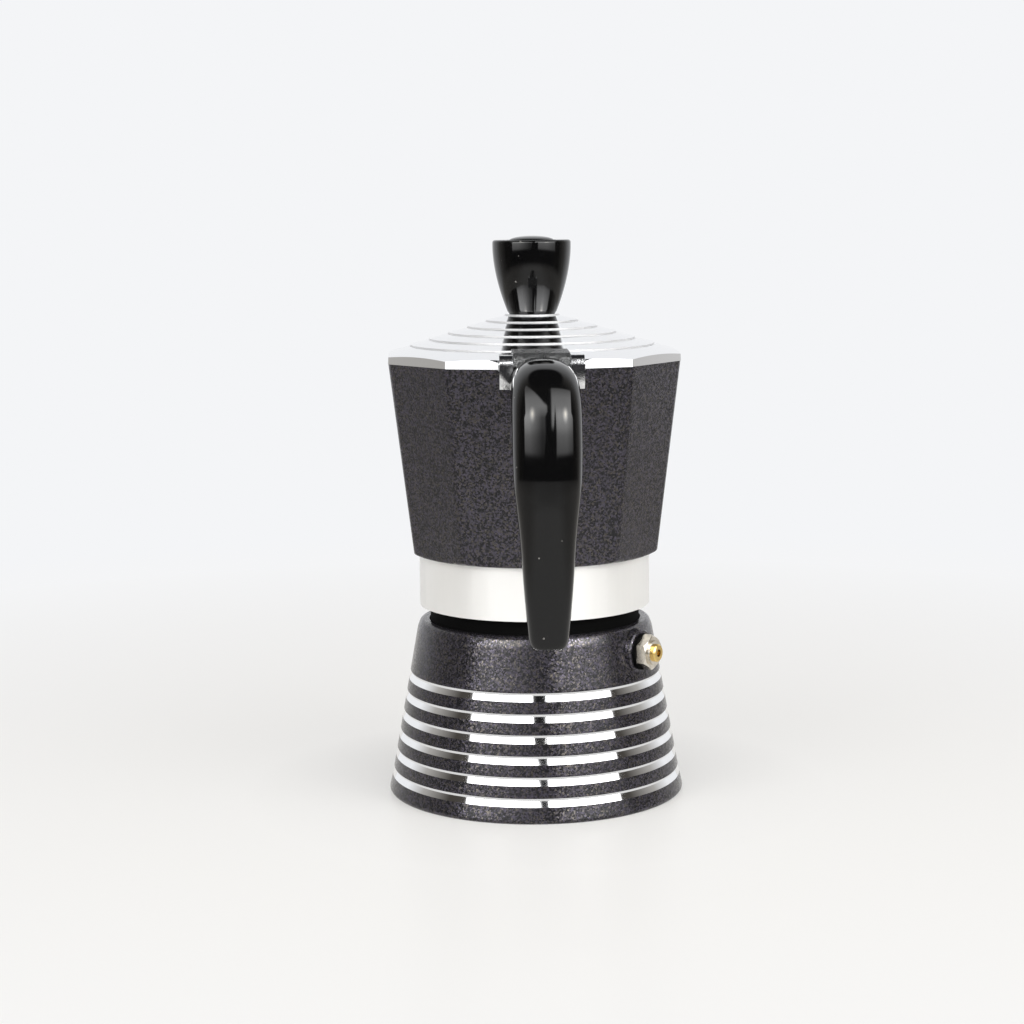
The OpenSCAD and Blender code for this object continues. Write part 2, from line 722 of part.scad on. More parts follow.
// The points of the lid's stepped cone, from its edge to the flat boss in its middle
function lid_step(r) = [
    [r + step_run, lid_z(r) - step_h],
    [r, lid_z(r)]];

module lid_outside() {
    far = rim_r + 2;
    intersection() {
        faceted(z_rim, z_rim + 60, rim_r, rim_r);
        rotate_extrude() polygon(concat(
            [[0, z_rim], [far, z_rim], [far, lid_z(far)]],
            [for (i = [0 : step_count - 1], p = lid_step(step_first_r - step_pitch * i)) p],
            [[0, z_boss]]));
    }
}

module lid_hollow() {
    drop = lid_wall + step_h;
    edge_r = rim_r - chamber_wall / flat_share;
    intersection() {
        faceted(z_rim - lip_h - 1, z_rim + 60, edge_r, edge_r);
        rotate_extrude() polygon([[0, z_rim - lip_h - 1], [rim_r, z_rim - lip_h - 1],
            [rim_r, lid_z(rim_r) - drop], [boss_r, z_boss - drop], [0, z_boss - drop]]);
    }
}

// A decagonal ring that hangs into the chamber's mouth, cut away at the spout
module lid_lip() {
    lip_r = corner_r(z_rim - lip_h) - (chamber_wall + lip_gap) / flat_share;
    difference() {
        faceted(z_rim - lip_h, z_rim + 1, lip_r, lip_r);
        faceted(z_rim - lip_h - 1, z_rim + 2, lip_r - lip_wall, lip_r - lip_wall);
        translate([-spout_w / 2, 0, z_rim - lip_h - 1]) cube([spout_w, rim_r, lip_h + 1]);
    }
}

module hinge_tab() {
    top = pin_z + knuckle_r;
    rotate([90, 0, 90]) linear_extrude(tab_w, center = true) union() {
        translate([pin_y, pin_z]) circle(r = knuckle_r);
        polygon([[pin_y, z_rim + 0.4], [pin_y, top], [-step_first_r - 1.4, top + 0.3], [-step_first_r, top - 0.4],
            [-step_first_r, z_rim + 2.2], [-rim_r + 2, z_rim + 0.4]]);
    }
}

module lid() {
    color(bright) difference() {
        union() {
            difference() {
                lid_outside();
                lid_hollow();
            }
            lid_lip();
            difference() {
                hinge_tab();
                lid_hollow();
            }
        }
        translate([0, pin_y, pin_z]) rotate([0, 90, 0])
            cylinder(h = tab_w + 2, d = pin_d + 2 * pin_gap, center = true);
        translate([0, 0, z_boss - 10]) cylinder(h = 20, d = knob_screw_d + 0.3);
    }
}

// Radius of the knob at the share t of its flared height
function knob_r(t) = knob_rim_r - (knob_rim_r - knob_foot_r) * pow(1 - t, knob_power);

module knob() {
    flare_h = knob_h - knob_band_h;
    flare_steps = 24;
    edge = 0.8;
    dome_w = knob_rim_r * 0.58;
    color(bakelite) difference() {
        translate([0, 0, knob_z]) rotate_extrude() polygon(concat(
            [[0, 0], [knob_foot_r - 0.4, 0], [knob_foot_r, 0.4]],
            [for (i = [1 : flare_steps]) [knob_r(i / flare_steps), flare_h * i / flare_steps]],
            arc(knob_rim_r - edge, knob_h - edge, edge, 0, 90, 6),
            [[dome_w + 0.5, knob_h - 0.1], [dome_w, knob_h - 0.3]],
            [for (a = [10 : 10 : 90]) [dome_w * cos(a), knob_h - 0.3 + (knob_dome + 0.3) * sin(a)]]));
        translate([0, 0, knob_z - 1]) cylinder(h = insert_h + 1.2, d = insert_d + 0.02);
    }
}

module knob_insert() {
    color(brass) translate([0, 0, knob_z]) difference() {
        cylinder(h = insert_h, d = insert_d);
        translate([0, 0, -1]) cylinder(h = insert_h, d = knob_screw_d + 0.04);
    }
}

module knob_washer() {
    color(steel) translate([0, 0, z_boss - lid_wall - step_h - 0.6]) difference() {
        cylinder(h = 0.6, r = washer_r);
        translate([0, 0, -1]) cylinder(h = 3, d = knob_screw_d + 0.3);
    }
}

module knob_screw() {
    head_z = z_boss - lid_wall - step_h - 0.6;
    color(steel) screw(head_z, knob_screw_d, knob_z + insert_h - 2 - head_z, knob_screw_d * 0.95, screw_head_in_h);
}

boiler();
valve_washer();
valve_body();
valve_plunger();
valve_spring();
valve_bush();
funnel_cup();
funnel_tube();
funnel_sieve();
gasket();
filter_plate();
collector();
handle();
handle_screw();
hinge_pin();
lid();
knob();
knob_insert();
knob_washer();
knob_screw();
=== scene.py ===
"""Finishes and fine forms of a ten-sided moka pot with a painted body and polished grooves.

Each operator finishes one piece, or a group of like pieces, of the assembled pot.
Sizes are in metres, +Z is up and the handle points to -Y.
"""

import math
from functools import partial

import bmesh
import bpy
from bpy.props import FloatProperty, FloatVectorProperty, IntProperty, PointerProperty
from bpy.types import Operator, Panel, PropertyGroup
from mathutils import Matrix, Vector


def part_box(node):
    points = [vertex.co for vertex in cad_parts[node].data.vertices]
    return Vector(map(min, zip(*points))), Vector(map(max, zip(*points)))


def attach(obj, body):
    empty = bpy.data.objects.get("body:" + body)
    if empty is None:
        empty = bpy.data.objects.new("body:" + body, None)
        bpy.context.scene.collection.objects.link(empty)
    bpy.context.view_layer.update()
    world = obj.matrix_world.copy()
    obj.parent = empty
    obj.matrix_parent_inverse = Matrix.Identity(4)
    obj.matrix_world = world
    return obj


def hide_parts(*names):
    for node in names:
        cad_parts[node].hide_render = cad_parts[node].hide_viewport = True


bl_info = {
    "name": "Moka pot",
    "version": (1, 0, 0),
    "blender": (4, 5, 0),
    "location": "View3D > Sidebar > Moka pot",
    "description": "Builds the finished pieces of a screw-together moka pot",
    "category": "Add Mesh",
}

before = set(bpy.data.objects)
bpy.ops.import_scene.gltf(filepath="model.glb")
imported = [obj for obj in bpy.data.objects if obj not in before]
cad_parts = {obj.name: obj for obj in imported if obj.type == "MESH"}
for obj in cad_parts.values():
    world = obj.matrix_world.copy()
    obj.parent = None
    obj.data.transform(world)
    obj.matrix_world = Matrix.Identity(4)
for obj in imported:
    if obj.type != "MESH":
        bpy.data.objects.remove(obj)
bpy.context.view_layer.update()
FOOT_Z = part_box("collector")[0].z
MM = 0.001
TINY = 1e-7


def length(description, mm):
    """A length whose default is given in millimetres."""
    return partial(FloatProperty, description=description, default=mm * MM, unit="LENGTH")


def angle(description, degrees):
    """An angle whose default is given in degrees."""
    return partial(FloatProperty, description=description, default=math.radians(degrees), unit="ROTATION")


def number(description, value):
    """A plain number."""
    return partial(FloatProperty, description=description, default=value)


def count(description, value):
    """A whole number."""
    return partial(IntProperty, description=description, default=value)


def colour(description, *rgb):
    """A colour."""
    return partial(FloatVectorProperty, description=description, default=rgb, size=3, subtype="COLOR",
                   min=0, max=1)


def named(group):
    """Makes the properties of a group, each named after its key."""
    for key, make in group.__annotations__.items():
        group.__annotations__[key] = make(name=key.replace("_", " ").capitalize())
    return group


# ---- Settings ----


@named
class BoilerSettings(PropertyGroup):
    """Sizes of the boiler's turned and threaded forms."""

    cone_height: length("Height of the cone up to its shoulder", 50.2)
    shoulder_ledge: length("How far the shoulder stands out past the neck", 3.3)
    shoulder_round: length("Round at the shoulder's outer edge", 1.5)
    foot_round: length("Round at the foot's outer edge", 1.0)
    neck_radius: length("Outer radius of the neck", 30)
    neck_wall: length("Thickness of the neck's wall", 2.8)
    wall: length("Thickness of the cone's wall", 2.5)
    floor: length("Thickness of the floor", 3.2)
    cavity_round: length("Round between floor and wall inside", 4)
    groove_count: count("Number of polished grooves", 6)
    groove_first: length("Height of the lowest groove's lower edge", 4.7)
    groove_pitch: length("Distance from one groove to the next", 5.65)
    groove_height: length("Height of a groove", 2.3)
    groove_flank: length("Height of a groove's lower flank", 1.6)
    groove_depth: length("Depth of a groove below the cone", 0.65)
    paint_edge: length("Round where the paint turns into a groove", 0.12)
    valve_turn: angle("Turn of the valve round the pot, from the handle", 54)
    valve_drop: length("How far the valve's centre lies below the shoulder", 6.7)
    boss_radius: length("Radius of the valve's flat boss", 6.2)
    valve_bore: length("Radius of the hole for the valve's shank", 3.45)


@named
class ThreadSettings(PropertyGroup):
    """Sizes of the thread that joins the boiler to the collector."""

    pitch: length("Rise of one turn", 3)
    depth: length("Depth of the thread", 0.8)
    lead_in: length("Plain length at each end", 0.9)


@named
class HandleSettings(PropertyGroup):
    """Sizes of the moulded handle."""

    width: length("Width at the widest", 18.0)
    end_width: length("Width of the grip's end", 10)
    arm_height: length("Height of the arm at the bracket", 16.4)
    end_depth: length("Depth of the grip's end", 9.4)
    reach: length("Distance from the arm's face to the middle of the grip", 19.88)
    drop: length("How far the grip's lowest point lies below the arm's middle", 65)
    end_rise: length("Height at which the middle line ends above that point", 0.8)
    end_round: length("Round at the grip's end", 0.9)
    arm_squareness: number("Power of the section's outline at the bracket", 2.6)
    squareness: number("That power at the arch", 2.2)
    end_squareness: number("That power at the grip's end", 3)
    tenon_width: length("Width of the socket for the bracket's tenon", 10.3)
    tenon_height: length("Height of that socket", 6.7)
    tenon_length: length("Depth of that socket", 9.4)


@named
class KnobSettings(PropertyGroup):
    """Sizes of the moulded knob."""

    foot_radius: length("Radius of the knob's foot", 6.7)
    height: length("Height without the dome", 20.8)
    band_height: length("Height of the upright rim", 1.6)
    rim_round: length("Round at the rim's upper edge", 0.8)
    flare: number("Power of the flare's curve", 1.8)
    dome_share: number("Dome's radius as a share of the rim's", 0.58)
    insert_radius: length("Radius of the hole for the brass insert", 3.71)
    insert_height: length("Depth of that hole", 9.2)


@named
class CollectorSettings(PropertyGroup):
    """Sizes of the collector's outside, and of the zones that its finishes cover."""

    facets: count("Number of facets round the chamber", 10)
    band_height: length("Height of the bright band", 14.9)
    band_radius: length("Outer radius of the bright band", 33)
    rim_height: length("Height of the rim above the band's foot", 69.7)
    rim_radius: length("Radius of the rim at its corners", 42.9)
    root_radius: length("Radius of the facets' corners at the band", 36.1)
    under_round: length("Round under the chamber", 5)
    corner_round: length("Round along the facets' corners", 3.5)
    skin: length("How far the smooth outside lies inside the plain one", 0.03)
    skirt_radius: length("Inner radius of the skirt", 30.1)
    skirt_depth: length("Height of the skirt's bore", 10.2)
    bracket_height: length("Height of the space that the bracket takes below the rim", 22)
    beak_width: length("Width of the space that the beak takes", 28)
    beak_height: length("Height of that space below the rim", 34)

    @property
    def band_top(self):
        """Height of the band's upper edge."""
        return FOOT_Z + self.band_height

    @property
    def rim(self):
        """Height of the rim."""
        return FOOT_Z + self.rim_height

    @property
    def half(self):
        """Half the turn that a facet covers."""
        return math.pi / self.facets


@named
class FinishSettings(PropertyGroup):
    """Colours of the pot's finishes."""

    paint: colour("Ground of the charcoal paint", 0.008, 0.0078, 0.009)
    flake: colour("Most flakes in the paint", 0.104, 0.095, 0.124)
    warm_flake: colour("The other flakes", 0.125, 0.112, 0.098)
    aluminium: colour("Polished and spun aluminium", 0.91, 0.915, 0.925)
    satin: colour("The bright band", 0.81, 0.805, 0.79)
    cast: colour("Cast and turned aluminium", 0.62, 0.63, 0.64)
    nickel: colour("Nickel plate of the valve", 0.80, 0.75, 0.66)
    brass: colour("Brass parts", 0.83, 0.60, 0.22)
    steel: colour("Steel parts", 0.56, 0.57, 0.58)
    rubber: colour("The gasket", 0.72, 0.70, 0.65)
    bakelite: colour("Handle and knob", 0.0018, 0.0018, 0.0019)


@named
class StageSettings(PropertyGroup):
    """Camera, lamps and surroundings."""

    lens: number("Focal length for a 36 mm sensor", 77.34)
    distance: length("Distance of the camera from the pot's axis", 625.5)
    height: length("Height of the camera above the table", 166.7)
    pitch: angle("How far the camera looks down", 7.844)
    turn: angle("How far the camera stands to the left of the handle", 2.89)
    pan: angle("How far the camera looks past the pot", 0.573)
    roll: angle("Tilt of the camera", -0.579)
    table: colour("The table where lamps light it", 0.60, 0.595, 0.58)
    near_table: colour("The table round the pot", 0.925, 0.914, 0.897)
    mirrored_table: colour("The table in reflections", 0.82, 0.81, 0.79)
    mirrored_side: colour("Both sides of the table in reflections", 0.52, 0.50, 0.47)
    backdrop: colour("Behind the pot", 0.905, 0.913, 0.93)
    room: colour("The dim room behind the camera", 0.018, 0.018, 0.02)
    dark_wall: colour("The walls beside the softboxes", 0.06, 0.054, 0.047)
    side: colour("Both sides of the room", 0.40, 0.385, 0.365)
    fill: number("Strength of the soft light from all round", 0.04)
    softbox: number("Brightness of the softboxes", 2.35)
    haze: number("How much brighter a softbox's middle is", 1.2)
    bulb: number("How much brighter the glow of a bulb is", 7)


SETTINGS = {
    "moka_boiler": BoilerSettings,
    "moka_thread": ThreadSettings,
    "moka_handle": HandleSettings,
    "moka_knob": KnobSettings,
    "moka_collector": CollectorSettings,
    "moka_finish": FinishSettings,
    "moka_stage": StageSettings,
}


# ---- Shader helpers ----


class Nodes:
    """A node tree, with short calls for the nodes that finishes and lamps are made of."""

    def __init__(self, tree):
        self.tree = tree

    def join(self, value, socket):
        """Links another node's result to a socket, or sets the socket's own value."""
        if isinstance(value, bpy.types.NodeSocket):
            self.tree.links.new(value, socket)
        else:
            socket.default_value = (*value, 1) if socket.type == "RGBA" else value

    def add(self, kind, inputs=None, **settings):
        """Adds a shader node; the value of an input may be another node's result."""
        node = self.tree.nodes.new("ShaderNode" + kind)
        for name, value in settings.items():
            setattr(node, name, value)
        for key, value in (inputs or {}).items():
            self.join(value, node.inputs[key])
        return node

    def calc(self, operation, *values):
        """The result of a math node."""
        return self.add("Math", dict(enumerate(values)), operation=operation).outputs[0]

    def apart(self, a, b):
        """The distance between two numbers."""
        return self.calc("ABSOLUTE", self.calc("SUBTRACT", a, b))

    def vector(self, operation, *values):
        """The vector that a vector math node gives."""
        return self.add("VectorMath", dict(enumerate(values)), operation=operation).outputs[0]

    def measure(self, operation, *values):
        """The number that a vector math node gives, such as a length."""
        return self.add("VectorMath", dict(enumerate(values)), operation=operation).outputs["Value"]

    def split(self, vector):
        """The three parts of a vector."""
        return self.add("SeparateXYZ", {0: vector}).outputs

    def fit(self, value, low, high, to_low=0.0, to_high=1.0):
        """Maps a number from low..high to another range, clamped."""
        inputs = {"Value": value, "From Min": low, "From Max": high, "To Min": to_low, "To Max": to_high}
        return self.add("MapRange", inputs).outputs[0]

    def blend(self, share, first, second):
        """Mixes two colours by a share from 0 to 1."""
        return self.add("Mix", {0: share, 6: first, 7: second}, data_type="RGBA").outputs[2]

    def glow(self, colour):
        """A shader that shines in one colour."""
        return self.add("Emission", {"Color": colour}).outputs[0]

    def layer(self, share, first, second):
        """Mixes two shaders by a share from 0 to 1."""
        return self.add("MixShader", {0: share, 1: first, 2: second}).outputs[0]

    def place(self):
        """Coordinates fixed to the piece, in metres."""
        return self.add("TexCoord").outputs["Object"]

    def from_axis(self):
        """Distance from the pot's axis."""
        return self.measure("LENGTH", self.vector("MULTIPLY", self.place(), (1, 1, 0)))

    def noise(self, scale, detail=2.0, roughness=0.5, stretch=None):
        """A noise value from 0 to 1."""
        vector = self.vector("MULTIPLY", self.place(), stretch) if stretch else self.place()
        inputs = {"Vector": vector, "Scale": scale, "Detail": detail, "Roughness": roughness}
        return self.add("TexNoise", inputs).outputs["Fac"]

    def cells(self, scale):
        """The outputs of a cell texture, and three random numbers for each cell."""
        cells = self.add("TexVoronoi", {"Vector": self.place(), "Scale": scale}).outputs
        return cells, self.add("SeparateColor", {"Color": cells["Color"]}).outputs

    def bump(self, height, distance, strength, **more):
        """Turns a height from 0 to 1 into a bumped normal."""
        inputs = {"Height": height, "Distance": distance, "Strength": strength, **more}
        return self.add("Bump", inputs).outputs[0]


class Finish(Nodes):
    """A new material, with its main shader."""

    def __init__(self, name, rgb, metallic, roughness, **sockets):
        material = bpy.data.materials.new(name)
        material.use_nodes = True
        material.diffuse_color = (*rgb, 1)
        super().__init__(material.node_tree)
        self.shader = self.tree.nodes["Principled BSDF"]
        self.drive(Base_Color=rgb, Metallic=metallic, Roughness=roughness, **sockets)

    def drive(self, **sockets):
        """Joins node results to the main shader's inputs, or sets them."""
        for key, value in sockets.items():
            self.join(value, self.shader.inputs[key.replace("_", " ")])


# ---- Finishes ----


def shaded(rgb, share):
    """A colour made darker."""
    return [c * share for c in rgb]


def mix_paint(rgb, flake, warm_flake):
    """Dark paint full of fine flakes, each tilted its own way so that it glints."""
    flake_size, tilt_share = 0.42 * MM, 0.085
    n = Finish("Flake paint", rgb, 0.0, 0.2, Specular_IOR_Level=0.3)
    cells, draws = n.cells(1 / flake_size)
    tilt = n.vector("SUBTRACT", cells["Color"], (0.5, 0.5, 0.5))
    tilt = n.vector("MULTIPLY", tilt, (tilt_share,) * 3)
    leaning = n.vector("ADD", n.add("NewGeometry").outputs["Normal"], tilt)
    metal = n.fit(draws[0], 0.35, 0.95, 0.0, 0.85)
    tint = n.blend(n.fit(draws[2], 0.5, 0.9), flake, warm_flake)
    n.drive(Base_Color=n.blend(metal, rgb, tint), Metallic=metal,
            Roughness=n.fit(draws[1], 0, 1, 0.23, 0.15),
            Normal=n.bump(n.noise(2600), 0.05 * MM, 0.5, Normal=n.vector("NORMALIZE", leaning)))


def mix_polish(name, rgb, roughness, lines_per_metre, line_depth):
    """Turned and polished metal: fine rings along the height with slight haze."""
    n = Finish(name, rgb, 1.0, roughness)
    rings = n.noise(1, 1, stretch=(3, 3, lines_per_metre))
    n.drive(Roughness=n.fit(n.noise(60, 3), 0.3, 0.7, roughness * 0.8, roughness * 1.3),
            Normal=n.bump(rings, line_depth, 0.6))


def mix_lid_polish(rgb):
    """Bright polished aluminium with faint rings left by the lathe round the lid's axis."""
    n = Finish("Lid polish", rgb, 1.0, 0.1)
    rings = n.add("TexNoise", {"W": n.from_axis(), "Scale": 2600, "Detail": 2}, noise_dimensions="1D")
    n.drive(Roughness=n.fit(n.noise(45, 3), 0.3, 0.7, 0.07, 0.11),
            Normal=n.bump(rings.outputs["Fac"], 0.004 * MM, 0.5))


def mix_satin(rgb):
    """Satin aluminium with faint upright streaks."""
    n = Finish("Satin aluminium", rgb, 0.55, 0.3)
    streaks = n.noise(1, 3, stretch=(260, 260, 8))
    n.drive(Base_Color=n.blend(n.fit(streaks, 0.3, 0.7), rgb, shaded(rgb, 0.97)),
            Roughness=n.fit(streaks, 0.3, 0.7, 0.28, 0.34), Normal=n.bump(streaks, 0.01 * MM, 0.3))


def mix_cast(name, rgb, roughness, grain_size, grain_depth):
    """Bare metal with a grainy skin."""
    n = Finish(name, rgb, 1.0, roughness)
    grains = n.noise(1 / grain_size, 4, 0.6)
    n.drive(Base_Color=n.blend(n.fit(grains, 0.3, 0.7), shaded(rgb, 0.86), rgb),
            Roughness=n.fit(n.noise(90), 0.3, 0.7, roughness * 0.85, roughness * 1.2),
            Normal=n.bump(grains, grain_depth, 0.8))


def mix_plate(name, rgb, roughness):
    """Plated or machined small parts with a little tarnish."""
    n = Finish(name, rgb, 1.0, roughness)
    tarnish = n.fit(n.noise(700, 3), 0.4, 0.75)
    n.drive(Base_Color=n.blend(tarnish, rgb, shaded(rgb, 0.78)),
            Roughness=n.fit(tarnish, 0, 1, roughness, roughness * 1.7))


def mix_dull(name, rgb, roughness, level, shades, tone_scale, grain_scale, strength):
    """Rubber, or matt black: painted shade in the boiler's neck gap, and the valve's dark washer, darkened
    also as painted shade of the boss. Two mingled shades of a colour, and a fine grain.
    """
    n = Finish(name, rgb, 0.0, roughness, Specular_IOR_Level=level)
    n.drive(Base_Color=n.blend(n.noise(tone_scale), shaded(rgb, shades[0]), shaded(rgb, shades[1])),
            Normal=n.bump(n.noise(grain_scale), 0.03 * MM, strength))


def mix_bakelite(rgb):
    """Gloss black bakelite with a few specks of dust."""
    dust = (0.30, 0.29, 0.27)
    n = Finish("Gloss bakelite", rgb, 0.0, 0.07, IOR=1.43)
    cells, draws = n.cells(480)
    speck = n.calc("LESS_THAN", cells["Distance"], n.fit(draws[1], 0.9, 1.0, 0.0, 0.16))
    haze = n.fit(n.noise(45, 3), 0.35, 0.7, 0.05, 0.10)
    n.drive(Base_Color=n.blend(n.calc("MULTIPLY", speck, 0.35), rgb, dust),
            Roughness=n.calc("ADD", haze, n.calc("MULTIPLY", speck, 0.4)),
            Normal=n.bump(n.noise(110), 0.06 * MM, 0.25))


# ---- Mesh helpers ----


def arc(x, y, radius, start, end, steps, *finish):
    """Points of an arc round (x, y), from one angle in degrees to another."""
    turns = [math.radians(start + (end - start) * i / steps) for i in range(steps + 1)]
    return [(x + radius * math.cos(t), y + radius * math.sin(t), *finish) for t in turns]


def mixed(a, b, share):
    """The value at a share of the way from a to b."""
    return a + (b - a) * share


def lathe(outline, sides, shape=None):
    """Turns a closed outline of (radius, height, finish) round the Z axis.

    shape(radius, height, turn) may give each point its own radius.
    """
    bm = bmesh.new()
    rings = []
    for radius, height, _ in outline:
        if radius < TINY:
            rings.append([bm.verts.new((0, 0, height))] * sides)
            continue
        ring = []
        for k in range(sides):
            turn = 2 * math.pi * k / sides
            r = shape(radius, height, turn) if shape else radius
            ring.append(bm.verts.new((r * math.cos(turn), r * math.sin(turn), height)))
        rings.append(ring)
    for i, (_, _, finish) in enumerate(outline):
        low, high = rings[i], rings[(i + 1) % len(rings)]
        if low[0] is low[1] and high[0] is high[1]:
            continue
        for k in range(sides):
            after = (k + 1) % sides
            corners = [low[k], low[after], high[after], high[k]]
            face = bm.faces.new(list(dict.fromkeys(corners)))
            face.material_index = finish
    bmesh.ops.recalc_face_normals(bm, faces=bm.faces)
    return bm


def loft(rings):
    """Joins rings of points to a solid with flat ends."""
    bm = bmesh.new()
    rings = [[bm.verts.new(point) for point in ring] for ring in rings]
    for lower, upper in zip(rings, rings[1:]):
        for k in range(len(lower)):
            after = (k + 1) % len(lower)
            bm.faces.new((lower[k], lower[after], upper[after], upper[k]))
    bm.faces.new(rings[0])
    bm.faces.new(rings[-1])
    bmesh.ops.recalc_face_normals(bm, faces=bm.faces)
    return bm


def node_mesh(node, weld=True):
    """A copy of the mesh of one of the frame's pieces, with the vertices at one place joined."""
    bm = bmesh.new()
    bm.from_mesh(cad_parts[node].data)
    if weld:
        bmesh.ops.remove_doubles(bm, verts=bm.verts, dist=2e-6)
    return bm


def to_object(name, bm, finishes):
    """Makes an object from a bmesh, with a material slot for each finish."""
    mesh = bpy.data.meshes.new(name)
    bm.to_mesh(mesh)
    bm.free()
    for finish in finishes:
        mesh.materials.append(bpy.data.materials[finish])
    piece = bpy.data.objects.new(name, mesh)
    bpy.context.scene.collection.objects.link(piece)
    return piece


def box_tool(low, high, finishes):
    """A box between two corners."""
    bm = bmesh.new()
    bmesh.ops.create_cube(bm, size=1)
    box = to_object("box_tool", bm, finishes)
    low, high = Vector(low), Vector(high)
    box.data.transform(Matrix.Translation((low + high) / 2) @ Matrix.Diagonal((*(high - low), 1)))
    return box


def apply_modifiers(piece):
    """Replaces a piece's mesh by its mesh with the modifiers applied."""
    graph = bpy.context.evaluated_depsgraph_get()
    mesh = bpy.data.meshes.new_from_object(piece.evaluated_get(graph))
    piece.modifiers.clear()
    piece.data = mesh


def combine(piece, tool, operation):
    """Joins a tool's solid to a piece, or cuts it out, and removes the tool."""
    change = piece.modifiers.new(operation, "BOOLEAN")
    change.operation = operation
    change.object = tool
    change.solver = "EXACT"
    apply_modifiers(piece)
    if len(piece.data.polygons) < 8:
        raise RuntimeError(f"{piece.name}: the {operation.lower()} left nothing")
    bpy.data.objects.remove(tool)


def shade(piece, sharp_angle=28):
    """Smooth shading weighted by the faces' areas; edges over an angle, in degrees, stay sharp."""
    limit = math.radians(sharp_angle)
    bm = bmesh.new()
    bm.from_mesh(piece.data)
    for face in bm.faces:
        face.smooth = True
    for edge in bm.edges:
        edge.smooth = len(edge.link_faces) == 2 and edge.calc_face_angle(0) < limit
    bm.to_mesh(piece.data)
    bm.free()
    weighted = piece.modifiers.new("weighted", "WEIGHTED_NORMAL")
    weighted.keep_sharp = True
    apply_modifiers(piece)


def put(piece, body, slot, *nodes):
    """Lets a piece ride on a body and replaces the plain nodes it stands for; slot is not used."""
    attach(piece, body)
    if nodes:
        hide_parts(*nodes)


def paint_nodes(finish, *nodes):
    """Gives pieces of the frame a finish."""
    for node in nodes:
        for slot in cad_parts[node].material_slots:
            slot.material = bpy.data.materials[finish]


def thread_depth(t, height, turn, low, high, crest=0):
    """How deep a thread is that fades out at both ends; with crest 1, how far its crest stands out."""
    phase = (height / t.pitch - turn / (2 * math.pi)) % 1
    share = min(1, max(0, 1.9 * abs(2 * phase - 1) - 0.45))
    ends = min(height - low, high - height) - t.lead_in
    fade = min(1, max(0, ends / (t.pitch / 4)))
    return t.depth * fade * abs(crest - share)


# ---- Operators ----


class MOKA_OT_finishes(Operator):
    """Mix every finish that the pot's pieces use"""

    bl_idname = "moka.finishes"
    bl_label = "Mix finishes"

    def execute(self, context):
        s = context.scene.moka_finish
        mix_paint(s.paint, s.flake, s.warm_flake)
        mix_polish("Groove polish", s.aluminium, 0.06, 9000, 0.002 * MM)
        mix_polish("Turned aluminium", s.cast, 0.22, 2500, 0.01 * MM)
        mix_polish("Spun aluminium", s.aluminium, 0.24, 1200, 0.02 * MM)
        mix_lid_polish(s.aluminium)
        mix_satin(s.satin)
        mix_cast("Cast aluminium", s.cast, 0.42, 0.9 * MM, 0.12 * MM)
        mix_cast("Bright casting", s.aluminium, 0.13, 1.6 * MM, 0.05 * MM)
        # the hinge tab and knuckle: cast aluminium darkened to a sixth, painted shade
        mix_cast("Casting in painted shade", shaded(s.cast, 0.16), 0.25, 1.3 * MM, 1.2 * MM)
        # the lid's step risers: a rougher turned finish, its colour darkened to paint the faint shade of
        # the step lines
        mix_cast("Turned step with painted shade", shaded(s.aluminium, 0.8), 0.55, 0.4 * MM, 0.01 * MM)
        mix_plate("Nickel plate", s.nickel, 0.16)
        mix_plate("Brass", s.brass, 0.2)
        mix_plate("Steel", s.steel, 0.25)
        mix_dull("Gasket rubber", s.rubber, 0.7, 0.5, (1, 0.86), 120, 1500, 0.5)
        # matt black: painted shade for the boiler's neck gap, and the valve's dark washer, darkened also
        # as painted shade of the boss
        mix_dull("Matt black and painted shade", s.bakelite, 0.8, 0.06, (0.5, 1), 1800, 1800, 0.4)
        mix_bakelite(s.bakelite)
        return {"FINISHED"}


